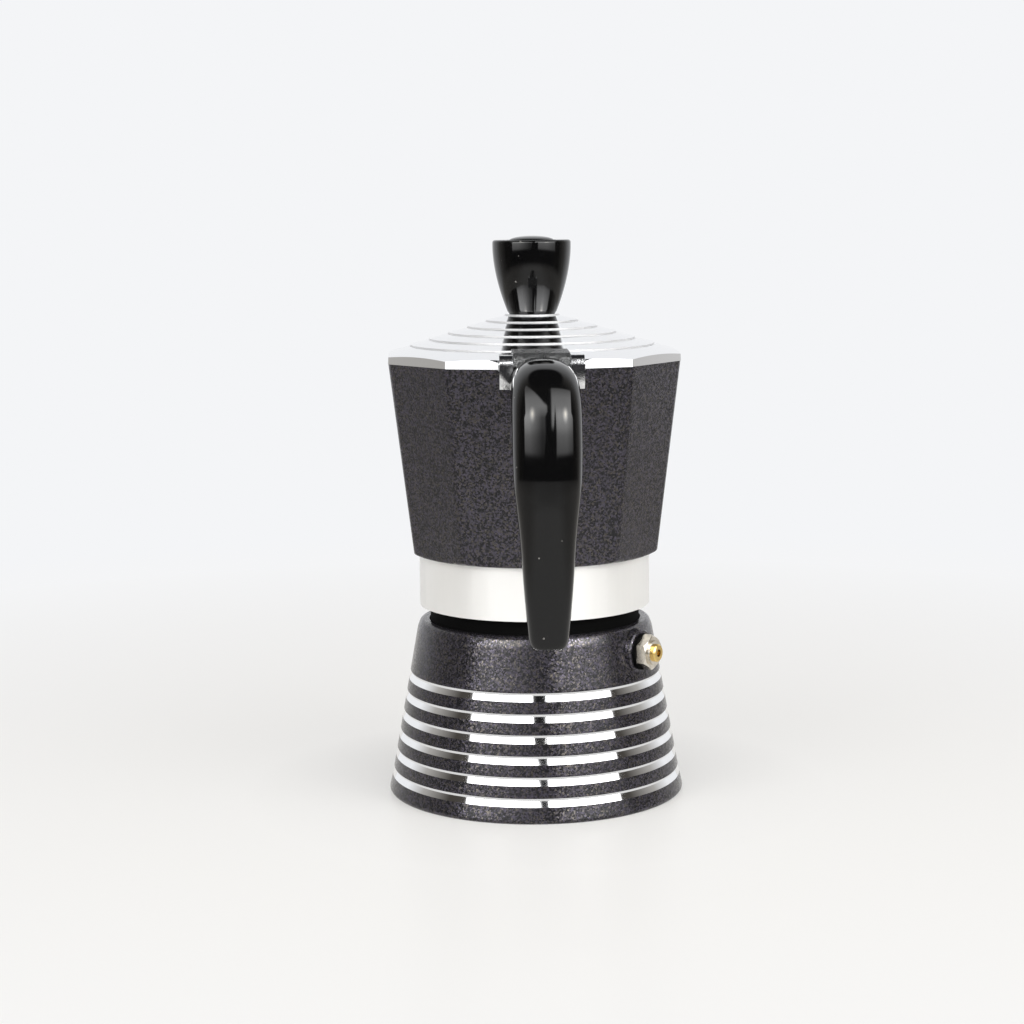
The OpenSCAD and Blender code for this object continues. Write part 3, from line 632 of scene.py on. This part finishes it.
class MOKA_OT_boiler(Operator):
    """Turn the boiler with its polished grooves, its threaded neck and its valve boss"""

    bl_idname = "moka.boiler"
    bl_label = "Turn boiler"

    finishes = ("Flake paint", "Groove polish", "Turned aluminium", "Cast aluminium", "Matt black and painted shade")

    def outside(self, s, base_r, top):
        """The outer outline, from the middle of the foot up to the neck's inner edge."""
        paint, polish, turned, _, black = range(5)
        shoulder_r = s.neck_radius + s.shoulder_ledge
        slope = (base_r - shoulder_r) / s.cone_height
        lean = math.degrees(math.atan(slope))

        def cone_r(z):
            return base_r - slope * z

        points = [(0, 0, turned)]
        ring_depth, ring_width = 0.39 * MM, 1.2 * MM
        for ring_r in (12 * MM, 30 * MM):
            points += [(ring_r, 0, turned), (ring_r, ring_depth, turned),
                       (ring_r + ring_width, ring_depth, turned), (ring_r + ring_width, 0, turned)]
        points += arc(base_r - s.foot_round, s.foot_round, s.foot_round, -90, lean, 10, paint)
        edge, half_root = s.paint_edge, 0.04 * MM
        high = s.groove_first
        for i in range(s.groove_count):
            low = s.groove_first + s.groove_pitch * i
            deep, high = low + s.groove_flank, low + s.groove_height
            root_r = cone_r(deep) - s.groove_depth
            points += [(cone_r(low - edge), low - edge, paint), (cone_r(low) - edge * 0.2, low, polish),
                       (root_r, deep - half_root, polish), (root_r, deep + half_root, polish),
                       (cone_r(high) - edge * 0.5, high, paint),
                       (cone_r(high + edge), high + edge, paint)]
        crown_z = s.cone_height - s.shoulder_round
        cone_rows, neck_rows = 16, 44
        for i in range(cone_rows):
            z = mixed(high + 0.5 * MM, crown_z, i / cone_rows)
            points.append((cone_r(z), z, paint))
        points += arc(shoulder_r - s.shoulder_round, crown_z, s.shoulder_round, lean, 90, 12, paint)
        chamfer = 0.6 * MM
        # the ledge and the neck up to the collector's foot are matt black: painted shade of the gap under
        # the band
        points += [(s.neck_radius + 0.4 * MM, s.cone_height, black),
                   (s.neck_radius, s.cone_height, black)]
        points += [(s.neck_radius, mixed(FOOT_Z, top - chamfer, i / neck_rows), turned)
                   for i in range(neck_rows + 1)]
        points += [(s.neck_radius - chamfer, top, turned), (s.neck_radius - s.neck_wall, top, turned)]
        return points, cone_r

    def inside(self, s, cone_r):
        """The inner outline, from the neck down to the middle of the floor."""
        bare = 3
        foot_z = s.floor + s.cavity_round
        taper_z = s.cone_height - s.wall - 1.6 * MM
        side_r = cone_r(foot_z) - s.wall
        points = [(s.neck_radius - s.neck_wall, s.cone_height, bare),
                  (cone_r(taper_z) - s.wall, taper_z, bare)]
        points += arc(side_r - s.cavity_round, foot_z, s.cavity_round, 0, -90, 10, bare)
        return [*points, (0, s.floor, bare)]

    def valve_seat(self, piece, s, cone_r):
        """Adds the valve's boss, which points outwards, and cuts its bore."""
        valve_z = s.cone_height - s.valve_drop
        face = (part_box("valve_washer")[0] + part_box("valve_washer")[1]) / 2
        washer_h, edge = 0.8 * MM, 0.4 * MM
        reach = math.hypot(face.x, face.y) - washer_h / 2
        start = cone_r(valve_z) - s.wall * 0.6
        boss = [(0, start, 0), (s.boss_radius, start, 0), (s.boss_radius, reach - edge, 0),
                (s.boss_radius - edge, reach, 0), (0, reach, 0)]
        bore = [(0, 0.4 * start, 2), (s.valve_bore, 0.4 * start, 2),
                (s.valve_bore, reach + edge, 2), (0, reach + edge, 2)]
        turn = Matrix.Rotation(s.valve_turn, 4, "Z") @ Matrix.Rotation(math.pi / 2, 4, "X")
        for points, operation in ((boss, "UNION"), (bore, "DIFFERENCE")):
            tool = to_object("valve_tool", lathe(points, 64), self.finishes)
            tool.data.transform(Matrix.Translation((0, 0, valve_z)) @ turn)
            combine(piece, tool, operation)

    def execute(self, context):
        s = context.scene.moka_boiler
        t = context.scene.moka_thread
        low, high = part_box("boiler")
        outline, cone_r = self.outside(s, -low.y, high.z)

        def shape(radius, height, turn):
            if abs(radius - s.neck_radius) > TINY or height < FOOT_Z:
                return radius
            return radius - thread_depth(t, height, turn, FOOT_Z, high.z)

        outline += self.inside(s, cone_r)
        piece = to_object("boiler_body", lathe(outline, 240, shape), self.finishes)
        self.valve_seat(piece, s, cone_r)
        shade(piece)
        put(piece, "boiler", "boiler_paint", "boiler")
        return {"FINISHED"}


class MOKA_OT_valve(Operator):
    """Finish the safety valve and its washer, and press its spring together"""

    bl_idname = "moka.valve"
    bl_label = "Finish valve"

    lift = 1.05 * MM

    def spring(self):
        """Presses the spring together, which leaves room for the plunger's lift."""
        bm = node_mesh("valve_spring", weld=False)
        low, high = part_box("valve_spring")
        way = Vector((low.x + high.x, low.y + high.y, 0)).normalized()
        along = [vert.co.dot(way) for vert in bm.verts]
        near, far = min(along), max(along)
        for vert, at in zip(bm.verts, along):
            vert.co += way * (self.lift * (far - at) / (far - near))
        piece = to_object("valve_coil", bm, ("Steel",))
        shade(piece, 40)
        put(piece, "boiler", "steel", "valve_spring")

    def execute(self, context):
        # the washer: a dark fibre washer, made darker as painted shade of the valve's boss
        paint_nodes("Matt black and painted shade", "valve_washer")
        paint_nodes("Nickel plate", "valve_body")
        paint_nodes("Brass", "valve_bush", "valve_plunger")
        self.spring()
        return {"FINISHED"}


class MOKA_OT_basket(Operator):
    """Finish the coffee basket, its feed tube, the sieve, the gasket and the filter plate"""

    bl_idname = "moka.basket"
    bl_label = "Finish basket"

    def execute(self, context):
        paint_nodes("Spun aluminium", "funnel_cup", "funnel_tube", "funnel_sieve", "filter_plate")
        paint_nodes("Gasket rubber", "gasket")
        return {"FINISHED"}


class MOKA_OT_collector(Operator):
    """Finish the collector: painted facets, satin band, bright bracket, bare inside and thread"""

    bl_idname = "moka.collector"
    bl_label = "Finish collector"

    finishes = ("Flake paint", "Satin aluminium", "Bright casting", "Cast aluminium", "Turned aluminium")

    def thread_tool(self, s, t):
        """A solid that cuts the thread into the skirt's bore."""
        low, high = FOOT_Z + 0.2 * MM, FOOT_Z + s.skirt_depth - 0.3 * MM
        rows, turned = 44, 4

        def shape(radius, height, turn):
            if radius < s.skirt_radius - MM:
                return radius
            return radius + thread_depth(t, height, turn, low, high, crest=1)

        inner, outer = s.skirt_radius - 3 * MM, s.skirt_radius - 0.04 * MM
        points = [(outer, mixed(low, high, i / rows), turned) for i in range(rows + 1)]
        points = [(inner, low, turned), *points, (inner, high, turned)]
        return to_object("thread_tool", lathe(points, 128, shape), self.finishes)

    def zone(self, s, centre, normal):
        """The finish of one face, by where it lies and which way it looks."""
        paint, satin, bright, bare, turned = range(5)
        hair, bracket_z = 0.05 * MM, s.band_top + 8 * MM
        radius = math.hypot(centre.x, centre.y)
        outwards = (normal.x * centre.x + normal.y * centre.y) / max(radius, TINY)
        rise = (centre.z - s.band_top) / (s.rim - s.band_top)
        # a facet's corner lies on the Y axis, and its middle half a facet away
        turn = (math.atan2(centre.x, -centre.y) + s.half) % (2 * s.half) - s.half
        across = radius * math.cos(abs(turn) - s.half)
        wall = mixed(s.root_radius, s.rim_radius, rise) * math.cos(s.half)
        if centre.z < s.band_top + 2 * hair and outwards > 0.2 and radius > s.band_radius - 6 * hair:
            return satin
        if centre.y < 0 and across > wall + 3 * hair and centre.z > bracket_z:
            return bright
        if centre.z > s.rim - hair:
            return bright
        if radius > s.band_radius - 4 * hair and outwards > 0.01 and centre.z > s.band_top - hair:
            return paint
        if centre.z < s.band_top and radius > s.skirt_radius - 4 * hair:
            return turned
        return bare

    def wall(self, s, rise, turn):
        """Radius of the ten-sided outline with rounded corners; turn is counted from the beak."""
        half, bend = s.half, s.corner_round
        flat = mixed(s.root_radius, s.rim_radius, rise) * math.cos(half) - s.skin
        offset = abs((turn + half) % (2 * half) - half)
        centre = (flat - bend) / math.cos(half)
        if offset < math.atan2(bend * math.sin(half), centre + bend * math.cos(half)):
            return centre * math.cos(offset) + math.sqrt(bend ** 2 - (centre * math.sin(offset)) ** 2)
        return flat / math.cos(half - offset)

    def skin_tool(self, s):
        """The collector's outside with smooth rounds, a hair inside the plain one."""
        half, band_top, rim = s.half, s.band_top, s.rim
        edge = s.corner_round * math.sin(half) / s.root_radius
        offsets = [-half, -0.65 * half, -0.35 * half, *[edge * k / 4 for k in range(-4, 5)],
                   0.35 * half, 0.65 * half]
        turns = [2 * half * k + offset for k in range(s.facets) for offset in offsets]
        band_r, far, blend = s.band_radius - s.skin, s.rim_radius * 2, 0.5 * MM
        rows = [(FOOT_Z - MM, band_r), (band_top, band_r)]
        under = arc(band_r, band_top + s.under_round, s.under_round, -90, -30, 20)
        rows += [(z, r) for r, z in under[1:]]
        rows += [(rows[-1][0] + rise * MM, far) for rise in (0.6, 4)]
        rows.append((rim + 2 * MM, far))
        rings = []
        for z, limit in rows:
            ring = []
            for turn in turns:
                wall = far
                if z > band_top + TINY:
                    wall = self.wall(s, (z - band_top) / (rim - band_top), turn)
                overlap = max(0, blend - abs(wall - limit)) / blend
                radius = min(wall, limit) - overlap * overlap * blend / 4
                ring.append((-radius * math.sin(turn), radius * math.cos(turn), z))
            rings.append(ring)
        return to_object("skin_tool", loft(rings), self.finishes)

    def execute(self, context):
        s = context.scene.moka_collector
        t = context.scene.moka_thread
        low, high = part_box("collector")
        piece = to_object("collector_body", node_mesh("collector"), self.finishes)
        skin = self.skin_tool(s)
        ear, half_beak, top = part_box("hinge_pin")[1].x + MM, s.beak_width / 2, high.z + 5 * MM
        bracket = (-ear, low.y - MM, s.rim - s.bracket_height), (ear, -s.band_radius, top)
        beak = ((-half_beak, s.band_radius - 4 * MM, s.rim - s.beak_height), (half_beak, high.y + MM, top))
        for corners in (bracket, beak):
            combine(skin, box_tool(*corners, self.finishes), "UNION")
        combine(piece, skin, "INTERSECT")
        combine(piece, self.thread_tool(s, t), "DIFFERENCE")
        for face in piece.data.polygons:
            face.material_index = self.zone(s, face.center, face.normal)
        shade(piece, 24)
        put(piece, "collector", "collector_paint", "collector")
        paint_nodes("Steel", "hinge_pin", "handle_screw")
        return {"FINISHED"}


class MOKA_OT_handle(Operator):
    """Mould the handle along its bent middle line"""

    bl_idname = "moka.handle"
    bl_label = "Mould handle"

    finishes = ("Gloss bakelite",)
    bend_share = 0.42
    bend_drop = 20 * MM
    end_start = 0.96
    end_lean = 2 * MM
    rings = 132
    sides = 72
    # share of the length, share of the way from the first size to the end's, change of half of it in mm
    widths = (0, 0, -0.4), (0.12, 0, 0), (0.42, 0, -0.1), (0.62, 0.45, 0), (0.8, 0.66, 0), (1, 1, 0)
    depths = (0, 0, 0.7), (0.2, 0, -0.1), (0.42, 0.4, 0), (0.7, 0.66, 0), (1, 1, 0)

    @staticmethod
    def bezier(points, t):
        """A point on a cubic curve."""
        a, b, c, d = (Vector(p) for p in points)
        return a * (1 - t) ** 3 + b * 3 * t * (1 - t) ** 2 + c * 3 * t * t * (1 - t) + d * t ** 3

    def line(self, share):
        """The middle line at a share of its length, as (y, z)."""
        if share < self.bend_share:
            return self.bezier(self.arm, share / self.bend_share)
        return self.bezier(self.grip, (share - self.bend_share) / (1 - self.bend_share))

    @staticmethod
    def eased(table, share):
        """A value read from a table of (share, value), with rounded corners."""
        def plain(at):
            at = min(max(at, 0), 1)
            for (s0, v0), (s1, v1) in zip(table, table[1:]):
                if at <= s1:
                    return mixed(v0, v1, (at - s0) / (s1 - s0))
            return table[-1][1]

        reach = min(0.06, share, 1 - share)
        return sum(plain(share + reach * k / 4) for k in range(-4, 5)) / 9

    def section(self, s, share, half_w, half_d):
        """The outline across the middle line at a share of its length."""
        centre = self.line(share)
        way = Vector((-1, 0))
        if share:
            way = self.line(min(share + 0.01, 1)) - self.line(max(share - 0.01, 0))
        side = Vector((-way.y, way.x)).normalized()
        past = max(0, (share - self.end_start) / (1 - self.end_start))
        pull = s.end_round * (1 - math.sqrt(max(0, 1 - past * past)))
        a = self.eased(half_w, share) - pull
        b = self.eased(half_d, share) - pull
        power = 2 / mixed(s.arm_squareness, s.squareness, min(1, share / self.bend_share))
        power = mixed(power, 2 / s.end_squareness, max(0, 2 * share - 1))
        ring = []
        for k in range(self.sides):
            turn = 2 * math.pi * k / self.sides
            c, d = math.cos(turn), math.sin(turn)
            w = b * math.copysign(abs(d) ** power, d)
            x = a * math.copysign(abs(c) ** power, c)
            ring.append((x, centre.x + side.x * w, centre.y + side.y * w))
        return ring

    def execute(self, context):
        s = context.scene.moka_handle
        low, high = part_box("handle")
        face_y = high.y
        mid_z = low.z + s.drop
        end_z = low.z + s.end_rise
        grip_y = face_y - s.reach
        bend_z = mid_z - self.bend_drop
        self.arm = [(face_y, mid_z), (face_y - 12 * MM, mid_z), (grip_y, mid_z + 4 * MM),
                    (grip_y, bend_z)]
        self.grip = [(grip_y, bend_z), (grip_y, bend_z - 15 * MM),
                     (grip_y + self.end_lean * 0.45, end_z + 14 * MM), (grip_y + self.end_lean, end_z)]
        half_w = [(at, mixed(s.width, s.end_width, way) / 2 + more * MM) for at, way, more in self.widths]
        half_d = [(at, mixed(s.arm_height, s.end_depth, way) / 2 + more * MM)
                  for at, way, more in self.depths]
        shares = [self.end_start * i / self.rings for i in range(self.rings)]
        shares += [mixed(self.end_start, 1, math.sin(math.radians(a))) for a in range(0, 91, 6)]
        rings = [self.section(s, share, half_w, half_d) for share in shares]
        piece = to_object("handle_grip", loft(rings), self.finishes)
        self.cut_socket(piece, s, face_y)
        shade(piece, 40)
        put(piece, "collector", "bakelite", "handle")
        return {"FINISHED"}

    def cut_socket(self, piece, s, face_y):
        """Cuts the socket for the tenon and the hole for the screw."""
        screw_low, screw_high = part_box("handle_screw")
        room, shaft_r, head_h = 0.3 * MM, 1.9 * MM, 2.2 * MM
        head_r = (screw_high.x - screw_low.x) / 2 + room
        top = screw_high.z + 2 * MM
        socket = box_tool((-s.tenon_width / 2, face_y - s.tenon_length, top - s.tenon_height),
                          (s.tenon_width / 2, face_y + 2 * MM, top), self.finishes)
        combine(piece, socket, "DIFFERENCE")
        deep = screw_low.z - 20 * MM
        step = screw_low.z + head_h
        outline = [(0, deep, 0), (head_r, deep, 0), (head_r, step, 0), (shaft_r, step, 0),
                   (shaft_r, screw_high.z, 0), (0, screw_high.z, 0)]
        hole = to_object("hole_tool", lathe(outline, 48), self.finishes)
        hole.data.transform(Matrix.Translation((0, (screw_low.y + screw_high.y) / 2, 0)))
        combine(piece, hole, "DIFFERENCE")


class MOKA_OT_lid(Operator):
    """Finish the lid: polished cone, turned steps, a rough hinge tab darkened as painted shade and a bare
    underside
    """

    bl_idname = "moka.lid"
    bl_label = "Finish lid"

    finishes = ("Lid polish", "Casting in painted shade", "Spun aluminium", "Turned step with painted shade")
    draft = 0.09 * MM
    tab_half = 7.6 * MM
    tab_y = -34 * MM
    cap_height = 3.6 * MM
    level = 0.9

    def execute(self, context):
        polish, casting, bare, step = range(4)
        rim_r = context.scene.moka_collector.rim_radius
        rim_z = context.scene.moka_collector.rim
        bm = node_mesh("lid")
        for vert in bm.verts:
            # the upright edge leans in a little, except at the hinge
            at = vert.co
            if at.z > rim_z + MM and math.hypot(at.x, at.y) > rim_r * 0.94 and at.y > -0.9 * rim_r:
                at.xy *= 1 - self.draft / rim_r
        bm.normal_update()
        for face in bm.faces:
            centre, normal = face.calc_center_median(), face.normal
            radius = math.hypot(centre.x, centre.y)
            outwards = (normal.x * centre.x + normal.y * centre.y) / max(radius, TINY)
            tab = centre.y < self.tab_y and abs(centre.x) < self.tab_half
            skin = normal.z > 0.3 or (centre.z > rim_z and outwards > 0.5 and radius > rim_r * 0.9)
            # the hinge tab and its knuckle get the casting darkened as painted shade
            if tab and (radius > rim_r - 0.5 * MM or centre.z > rim_z + self.cap_height):
                face.material_index = casting
            # the steps' risers: rough turned metal, darkened as painted shade
            elif skin and 0.3 < normal.z < self.level:
                face.material_index = step
            else:
                face.material_index = polish if skin else bare
        piece = to_object("lid_shell", bm, self.finishes)
        shade(piece, 12)
        put(piece, "lid", "polished_alu", "lid")
        return {"FINISHED"}


class MOKA_OT_knob(Operator):
    """Turn the flared knob and finish the parts that hold it"""

    bl_idname = "moka.knob"
    bl_label = "Turn knob"

    foot_round = 0.4 * MM
    dome_groove = 0.3 * MM
    rows = 48

    def execute(self, context):
        s = context.scene.moka_knob
        low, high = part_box("knob")
        rim_r = high.x
        flare_h = s.height - s.band_height
        points = [(s.insert_radius, 0), (s.foot_radius - self.foot_round, 0)]
        points += arc(s.foot_radius - self.foot_round, self.foot_round, self.foot_round, -80, -10, 4)
        for i in range(1, self.rows + 1):
            t = i / self.rows
            if flare_h * t > 0.5 * MM:
                points.append((rim_r - (rim_r - s.foot_radius) * (1 - t) ** s.flare, flare_h * t))
        points += arc(rim_r - s.rim_round, s.height - s.rim_round, s.rim_round, 0, 90, 10)
        dome_r = rim_r * s.dome_share
        dome_z = s.height - self.dome_groove
        crown = high.z - low.z - dome_z
        points += [(dome_r + 0.6 * MM, s.height - 0.06 * MM), (dome_r + 0.25 * MM, s.height - 0.28 * MM)]
        for degrees in range(0, 90, 5):
            a = math.radians(degrees)
            points.append((dome_r * math.cos(a), dome_z + crown * math.sin(a)))
        points += [(0, dome_z + crown), (0, s.insert_height), (s.insert_radius, s.insert_height)]
        outline = [(r, low.z + z, 0) for r, z in points]
        piece = to_object("knob_grip", lathe(outline, 144), ("Gloss bakelite",))
        shade(piece, 40)
        put(piece, "lid", "bakelite", "knob")
        paint_nodes("Brass", "knob_insert")
        paint_nodes("Steel", "knob_washer", "knob_screw")
        return {"FINISHED"}


class MOKA_OT_stage(Operator):
    """Set up the pale table, the backdrop, the lamps and the camera"""

    bl_idname = "moka.stage"
    bl_label = "Set up stage"

    def camera(self, scene, s):
        """Puts the camera in front of the handle, looking slightly down."""
        data = bpy.data.cameras.new("camera")
        data.lens = s.lens
        data.sensor_width = 36
        data.clip_start = 0.01
        camera = bpy.data.objects.new("camera", data)
        camera.matrix_world = (
            Matrix.Rotation(-s.turn, 4, "Z") @ Matrix.Translation((0, -s.distance, s.height))
            @ Matrix.Rotation(s.pan, 4, "Z") @ Matrix.Rotation(math.pi / 2 - s.pitch, 4, "X")
            @ Matrix.Rotation(s.roll, 4, "Z"))
        scene.collection.objects.link(camera)
        scene.camera = camera

    def cloth(self, n, across, tilt, edges, low_edges, top, bar, low_middle):
        """Brightness of a softbox's cloth: 0 past its outline and at its bar, about 1 elsewhere."""
        soft_edge, soft_bar, soft_top = 0.012, 0.008, 0.05
        half_bar = n.fit(tilt, 0.5, 0.15, -0.01, 0.022)
        left, right = (n.fit(tilt, 0.28, 0.34, low, high) for low, high in zip(low_edges, edges))
        high = n.calc("MULTIPLY_ADD", across, top[1], top[0])
        low = n.calc("SUBTRACT", n.fit(n.apart(across, low_middle), 0.1, 0.4, 1.55, 0.27), 1)
        cloth = n.fit(n.calc("SUBTRACT", n.apart(across, bar), half_bar), 0, soft_bar)
        for mask in (
            n.fit(n.calc("SUBTRACT", across, left), 0, soft_edge),
            n.fit(n.calc("SUBTRACT", right, across), 0, soft_edge),
            # dimmer towards the top and towards the foot
            n.fit(tilt, 0.6, 0.9, 1, 0.5),
            n.fit(tilt, 0.04, 0.18, 0.5, 1),
            # the lower part is bright in its middle and dim at its sides
            n.calc("MULTIPLY_ADD", low, n.fit(tilt, 0.42, 0.27), 1),
            # the foot and the top end softly, and the foot lies higher left of the bar
            n.fit(tilt, 0.02, 0.04),
            n.fit(n.calc("SUBTRACT", high, tilt), 0, soft_top),
            n.calc("MAXIMUM", n.calc("GREATER_THAN", across, bar), n.fit(tilt, 0.15, 0.2)),
        ):
            cloth = n.calc("MULTIPLY", cloth, mask)
        return cloth

    def lamp(self, scene, s, name, azimuth, width, glow_at, **outline):
        """A tall softbox that looks at the pot, with a glow where its bulb sits behind the cloth.

        Azimuth 0 is the camera's side, positive to its right. The outline, the glow and the upright
        bar are given by how a mirror at the handle must face to show them to the camera: its sideways
        part for the edges and the bar, the slope of its tilt for the top. The lower part has edges and
        a brightest middle of its own.
        """
        height, distance, a, e = 1.6, 0.9, math.radians(azimuth), math.radians(36)
        mirror, to_camera, warm = (0, -0.075, 0.108), (-0.057, -0.993, 0.107), (1, 0.93, 0.80)
        data = bpy.data.lights.new(name, "AREA")
        data.shape = "RECTANGLE"
        data.size, data.size_y = width, height
        data.energy = s.softbox * math.pi * width * height
        data.use_nodes = True
        n = Nodes(data.node_tree)
        way = n.vector("SUBTRACT", n.add("NewGeometry").outputs["Position"], mirror)
        facing = n.vector("NORMALIZE", n.vector("ADD", n.vector("NORMALIZE", way), to_camera))
        parts = n.split(facing)
        tilt = n.calc("DIVIDE", parts["Z"], n.calc("MULTIPLY", parts["Y"], -1))
        cloth = self.cloth(n, parts["X"], tilt, **outline)
        bulb = n.calc("POWER", n.fit(n.measure("DISTANCE", facing, glow_at), 0.11, 0), 2)
        haze = n.calc("MINIMUM", n.fit(tilt, 0.12, 0.31), n.fit(tilt, 0.85, 0.31))
        glow = n.calc("MULTIPLY_ADD", bulb, s.bulb, n.calc("MULTIPLY_ADD", haze, s.haze, 1))
        emission = n.tree.nodes["Emission"]
        n.join(n.calc("MULTIPLY", glow, cloth), emission.inputs["Strength"])
        n.join(n.blend(bulb, (1, 1, 1), warm), emission.inputs["Color"])
        lamp = bpy.data.objects.new(name, data)
        way = Vector((math.sin(a) * math.cos(e), -math.cos(a) * math.cos(e), math.sin(e)))
        lamp.location = Vector((0, 0, 0.09)) + way * distance
        lamp.rotation_euler = way.to_track_quat("Z", "Y").to_euler()
        scene.collection.objects.link(lamp)

    def surroundings(self, n, s, back):
        """Colour of the room in reflections, by how far a direction points to the back, from -1 to 1."""
        walls = n.blend(n.fit(back, -0.1, 0.28), s.dark_wall, s.side)
        sides = n.blend(n.fit(back, -0.45, -0.3), s.room, walls)
        return n.blend(n.fit(back, 0.3, 0.6), sides, s.backdrop)

    def mix_table(self, s):
        """Pale table: lit near the pot, plain further out. In reflections it is a glow in set colours, a
        painted reflection that is darker at its sides and ends near the pot.
        """
        n = Finish("Table", s.table, 0.0, 0.3)
        radius = n.from_axis()
        parts = n.split(n.place())
        around = self.surroundings(n, s, n.calc("DIVIDE", parts["Y"], radius))
        # painted reflection: glossy rays see the table glow in these colours rather than lit
        sideways = n.fit(n.calc("ABSOLUTE", parts["X"]), 0.15, 0.3)
        near = n.blend(sideways, s.mirrored_table, s.mirrored_side)
        mirrored = n.glow(n.blend(n.fit(radius, 0.42, 0.55), near, around))
        plain = n.glow(n.blend(n.fit(radius, 0.12, 0.5), s.near_table, s.backdrop))
        share = n.calc("ADD", n.fit(radius, 0.046, 0.085, 0.45, 0.72), n.fit(radius, 0.1, 0.42, 0, 0.28))
        path = n.add("LightPath").outputs
        seen = n.layer(path["Is Glossy Ray"], n.shader.outputs[0], mirrored)
        whole = n.layer(n.calc("MULTIPLY", path["Is Camera Ray"], share), seen, plain)
        n.join(whole, n.tree.nodes["Material Output"].inputs["Surface"])

    def table(self, s):
        """A table that sweeps up into a backdrop behind the pot."""
        self.mix_table(s)
        half, front, depth, bend, top, sunk = 3.0, -2.5, 1.5, 0.8, 2.2, 0.02 * MM
        line = [(front, 0), (depth, 0), *arc(depth, bend, bend, -90, 0, 24)[1:], (depth + bend, top)]
        bm = bmesh.new()
        rows = [[bm.verts.new((x, y, z - sunk)) for x in (-half, half)] for y, z in line]
        for a, b in zip(rows, rows[1:]):
            bm.faces.new((a[0], a[1], b[1], b[0])).smooth = True
        table = to_object("table", bm, ("Table",))

    def world(self, scene, s):
        """White backdrop for the camera and for reflections, with a dim room behind the camera."""
        world = bpy.data.worlds.new("studio")
        world.use_nodes = True
        scene.world = world
        n = Nodes(world.node_tree)
        direction = n.add("TexCoord").outputs["Generated"]
        back = self.surroundings(n, s, n.split(direction)["Y"])
        high = n.measure("DOT_PRODUCT", direction, (0, 0.17, 0.985))
        overhead = n.blend(n.fit(high, 0.857, 0.91), back, s.room)
        path = n.add("LightPath").outputs
        mirrored = n.blend(path["Is Glossy Ray"], (s.fill,) * 3, overhead)
        shown = n.blend(path["Is Camera Ray"], mirrored, s.backdrop)
        n.join(shown, n.tree.nodes["Background"].inputs["Color"])

    def execute(self, context):
        scene = context.scene
        s = scene.moka_stage
        scene.view_settings.view_transform = "Standard"
        self.camera(scene, s)
        self.table(s)
        self.world(scene, s)
        self.lamp(scene, s, "softbox_left", -35, 1.36, (-0.31, -0.90, 0.29), edges=(-0.52, -0.01),
                  low_edges=(-0.56, -0.035), top=(0.43, -1.35), bar=-1, low_middle=-0.5)
        self.lamp(scene, s, "softbox_right", 43, 1.34, (0.34, -0.89, 0.28), edges=(0.03, 0.53),
                  low_edges=(0.03, 0.58), top=(0.85, 0), bar=0.095, low_middle=0.27)
        return {"FINISHED"}


OPERATORS = (MOKA_OT_finishes, MOKA_OT_boiler, MOKA_OT_valve, MOKA_OT_basket, MOKA_OT_collector,
             MOKA_OT_handle, MOKA_OT_lid, MOKA_OT_knob, MOKA_OT_stage)


class MOKA_PT_panel(Panel):
    """Lists the steps that build the pot"""

    bl_idname = "MOKA_PT_panel"
    bl_label = "Moka pot"
    bl_space_type = "VIEW_3D"
    bl_region_type = "UI"
    bl_category = "Moka pot"

    def draw(self, context):
        for operator in OPERATORS:
            self.layout.operator(operator.bl_idname)
        for name in SETTINGS:
            settings = getattr(context.scene, name)
            box = self.layout.box()
            box.label(text=name.replace("moka_", "").capitalize())
            for key in settings.__annotations__:
                box.prop(settings, key)


def register():
    """Registers the settings, the operators and the panel."""
    for name, group in SETTINGS.items():
        bpy.utils.register_class(group)
        setattr(bpy.types.Scene, name, PointerProperty(type=group))
    for operator in OPERATORS:
        bpy.utils.register_class(operator)
    bpy.utils.register_class(MOKA_PT_panel)


def unregister():
    """Undoes what register has done."""
    bpy.utils.unregister_class(MOKA_PT_panel)
    for operator in reversed(OPERATORS):
        bpy.utils.unregister_class(operator)
    for name, group in SETTINGS.items():
        delattr(bpy.types.Scene, name)
        bpy.utils.unregister_class(group)


def main():
    """Builds the whole pot, one step after another."""
    register()
    for operator in OPERATORS:
        group, step = operator.bl_idname.split(".")
        getattr(getattr(bpy.ops, group), step)()


if __name__ == "__main__":
    main()
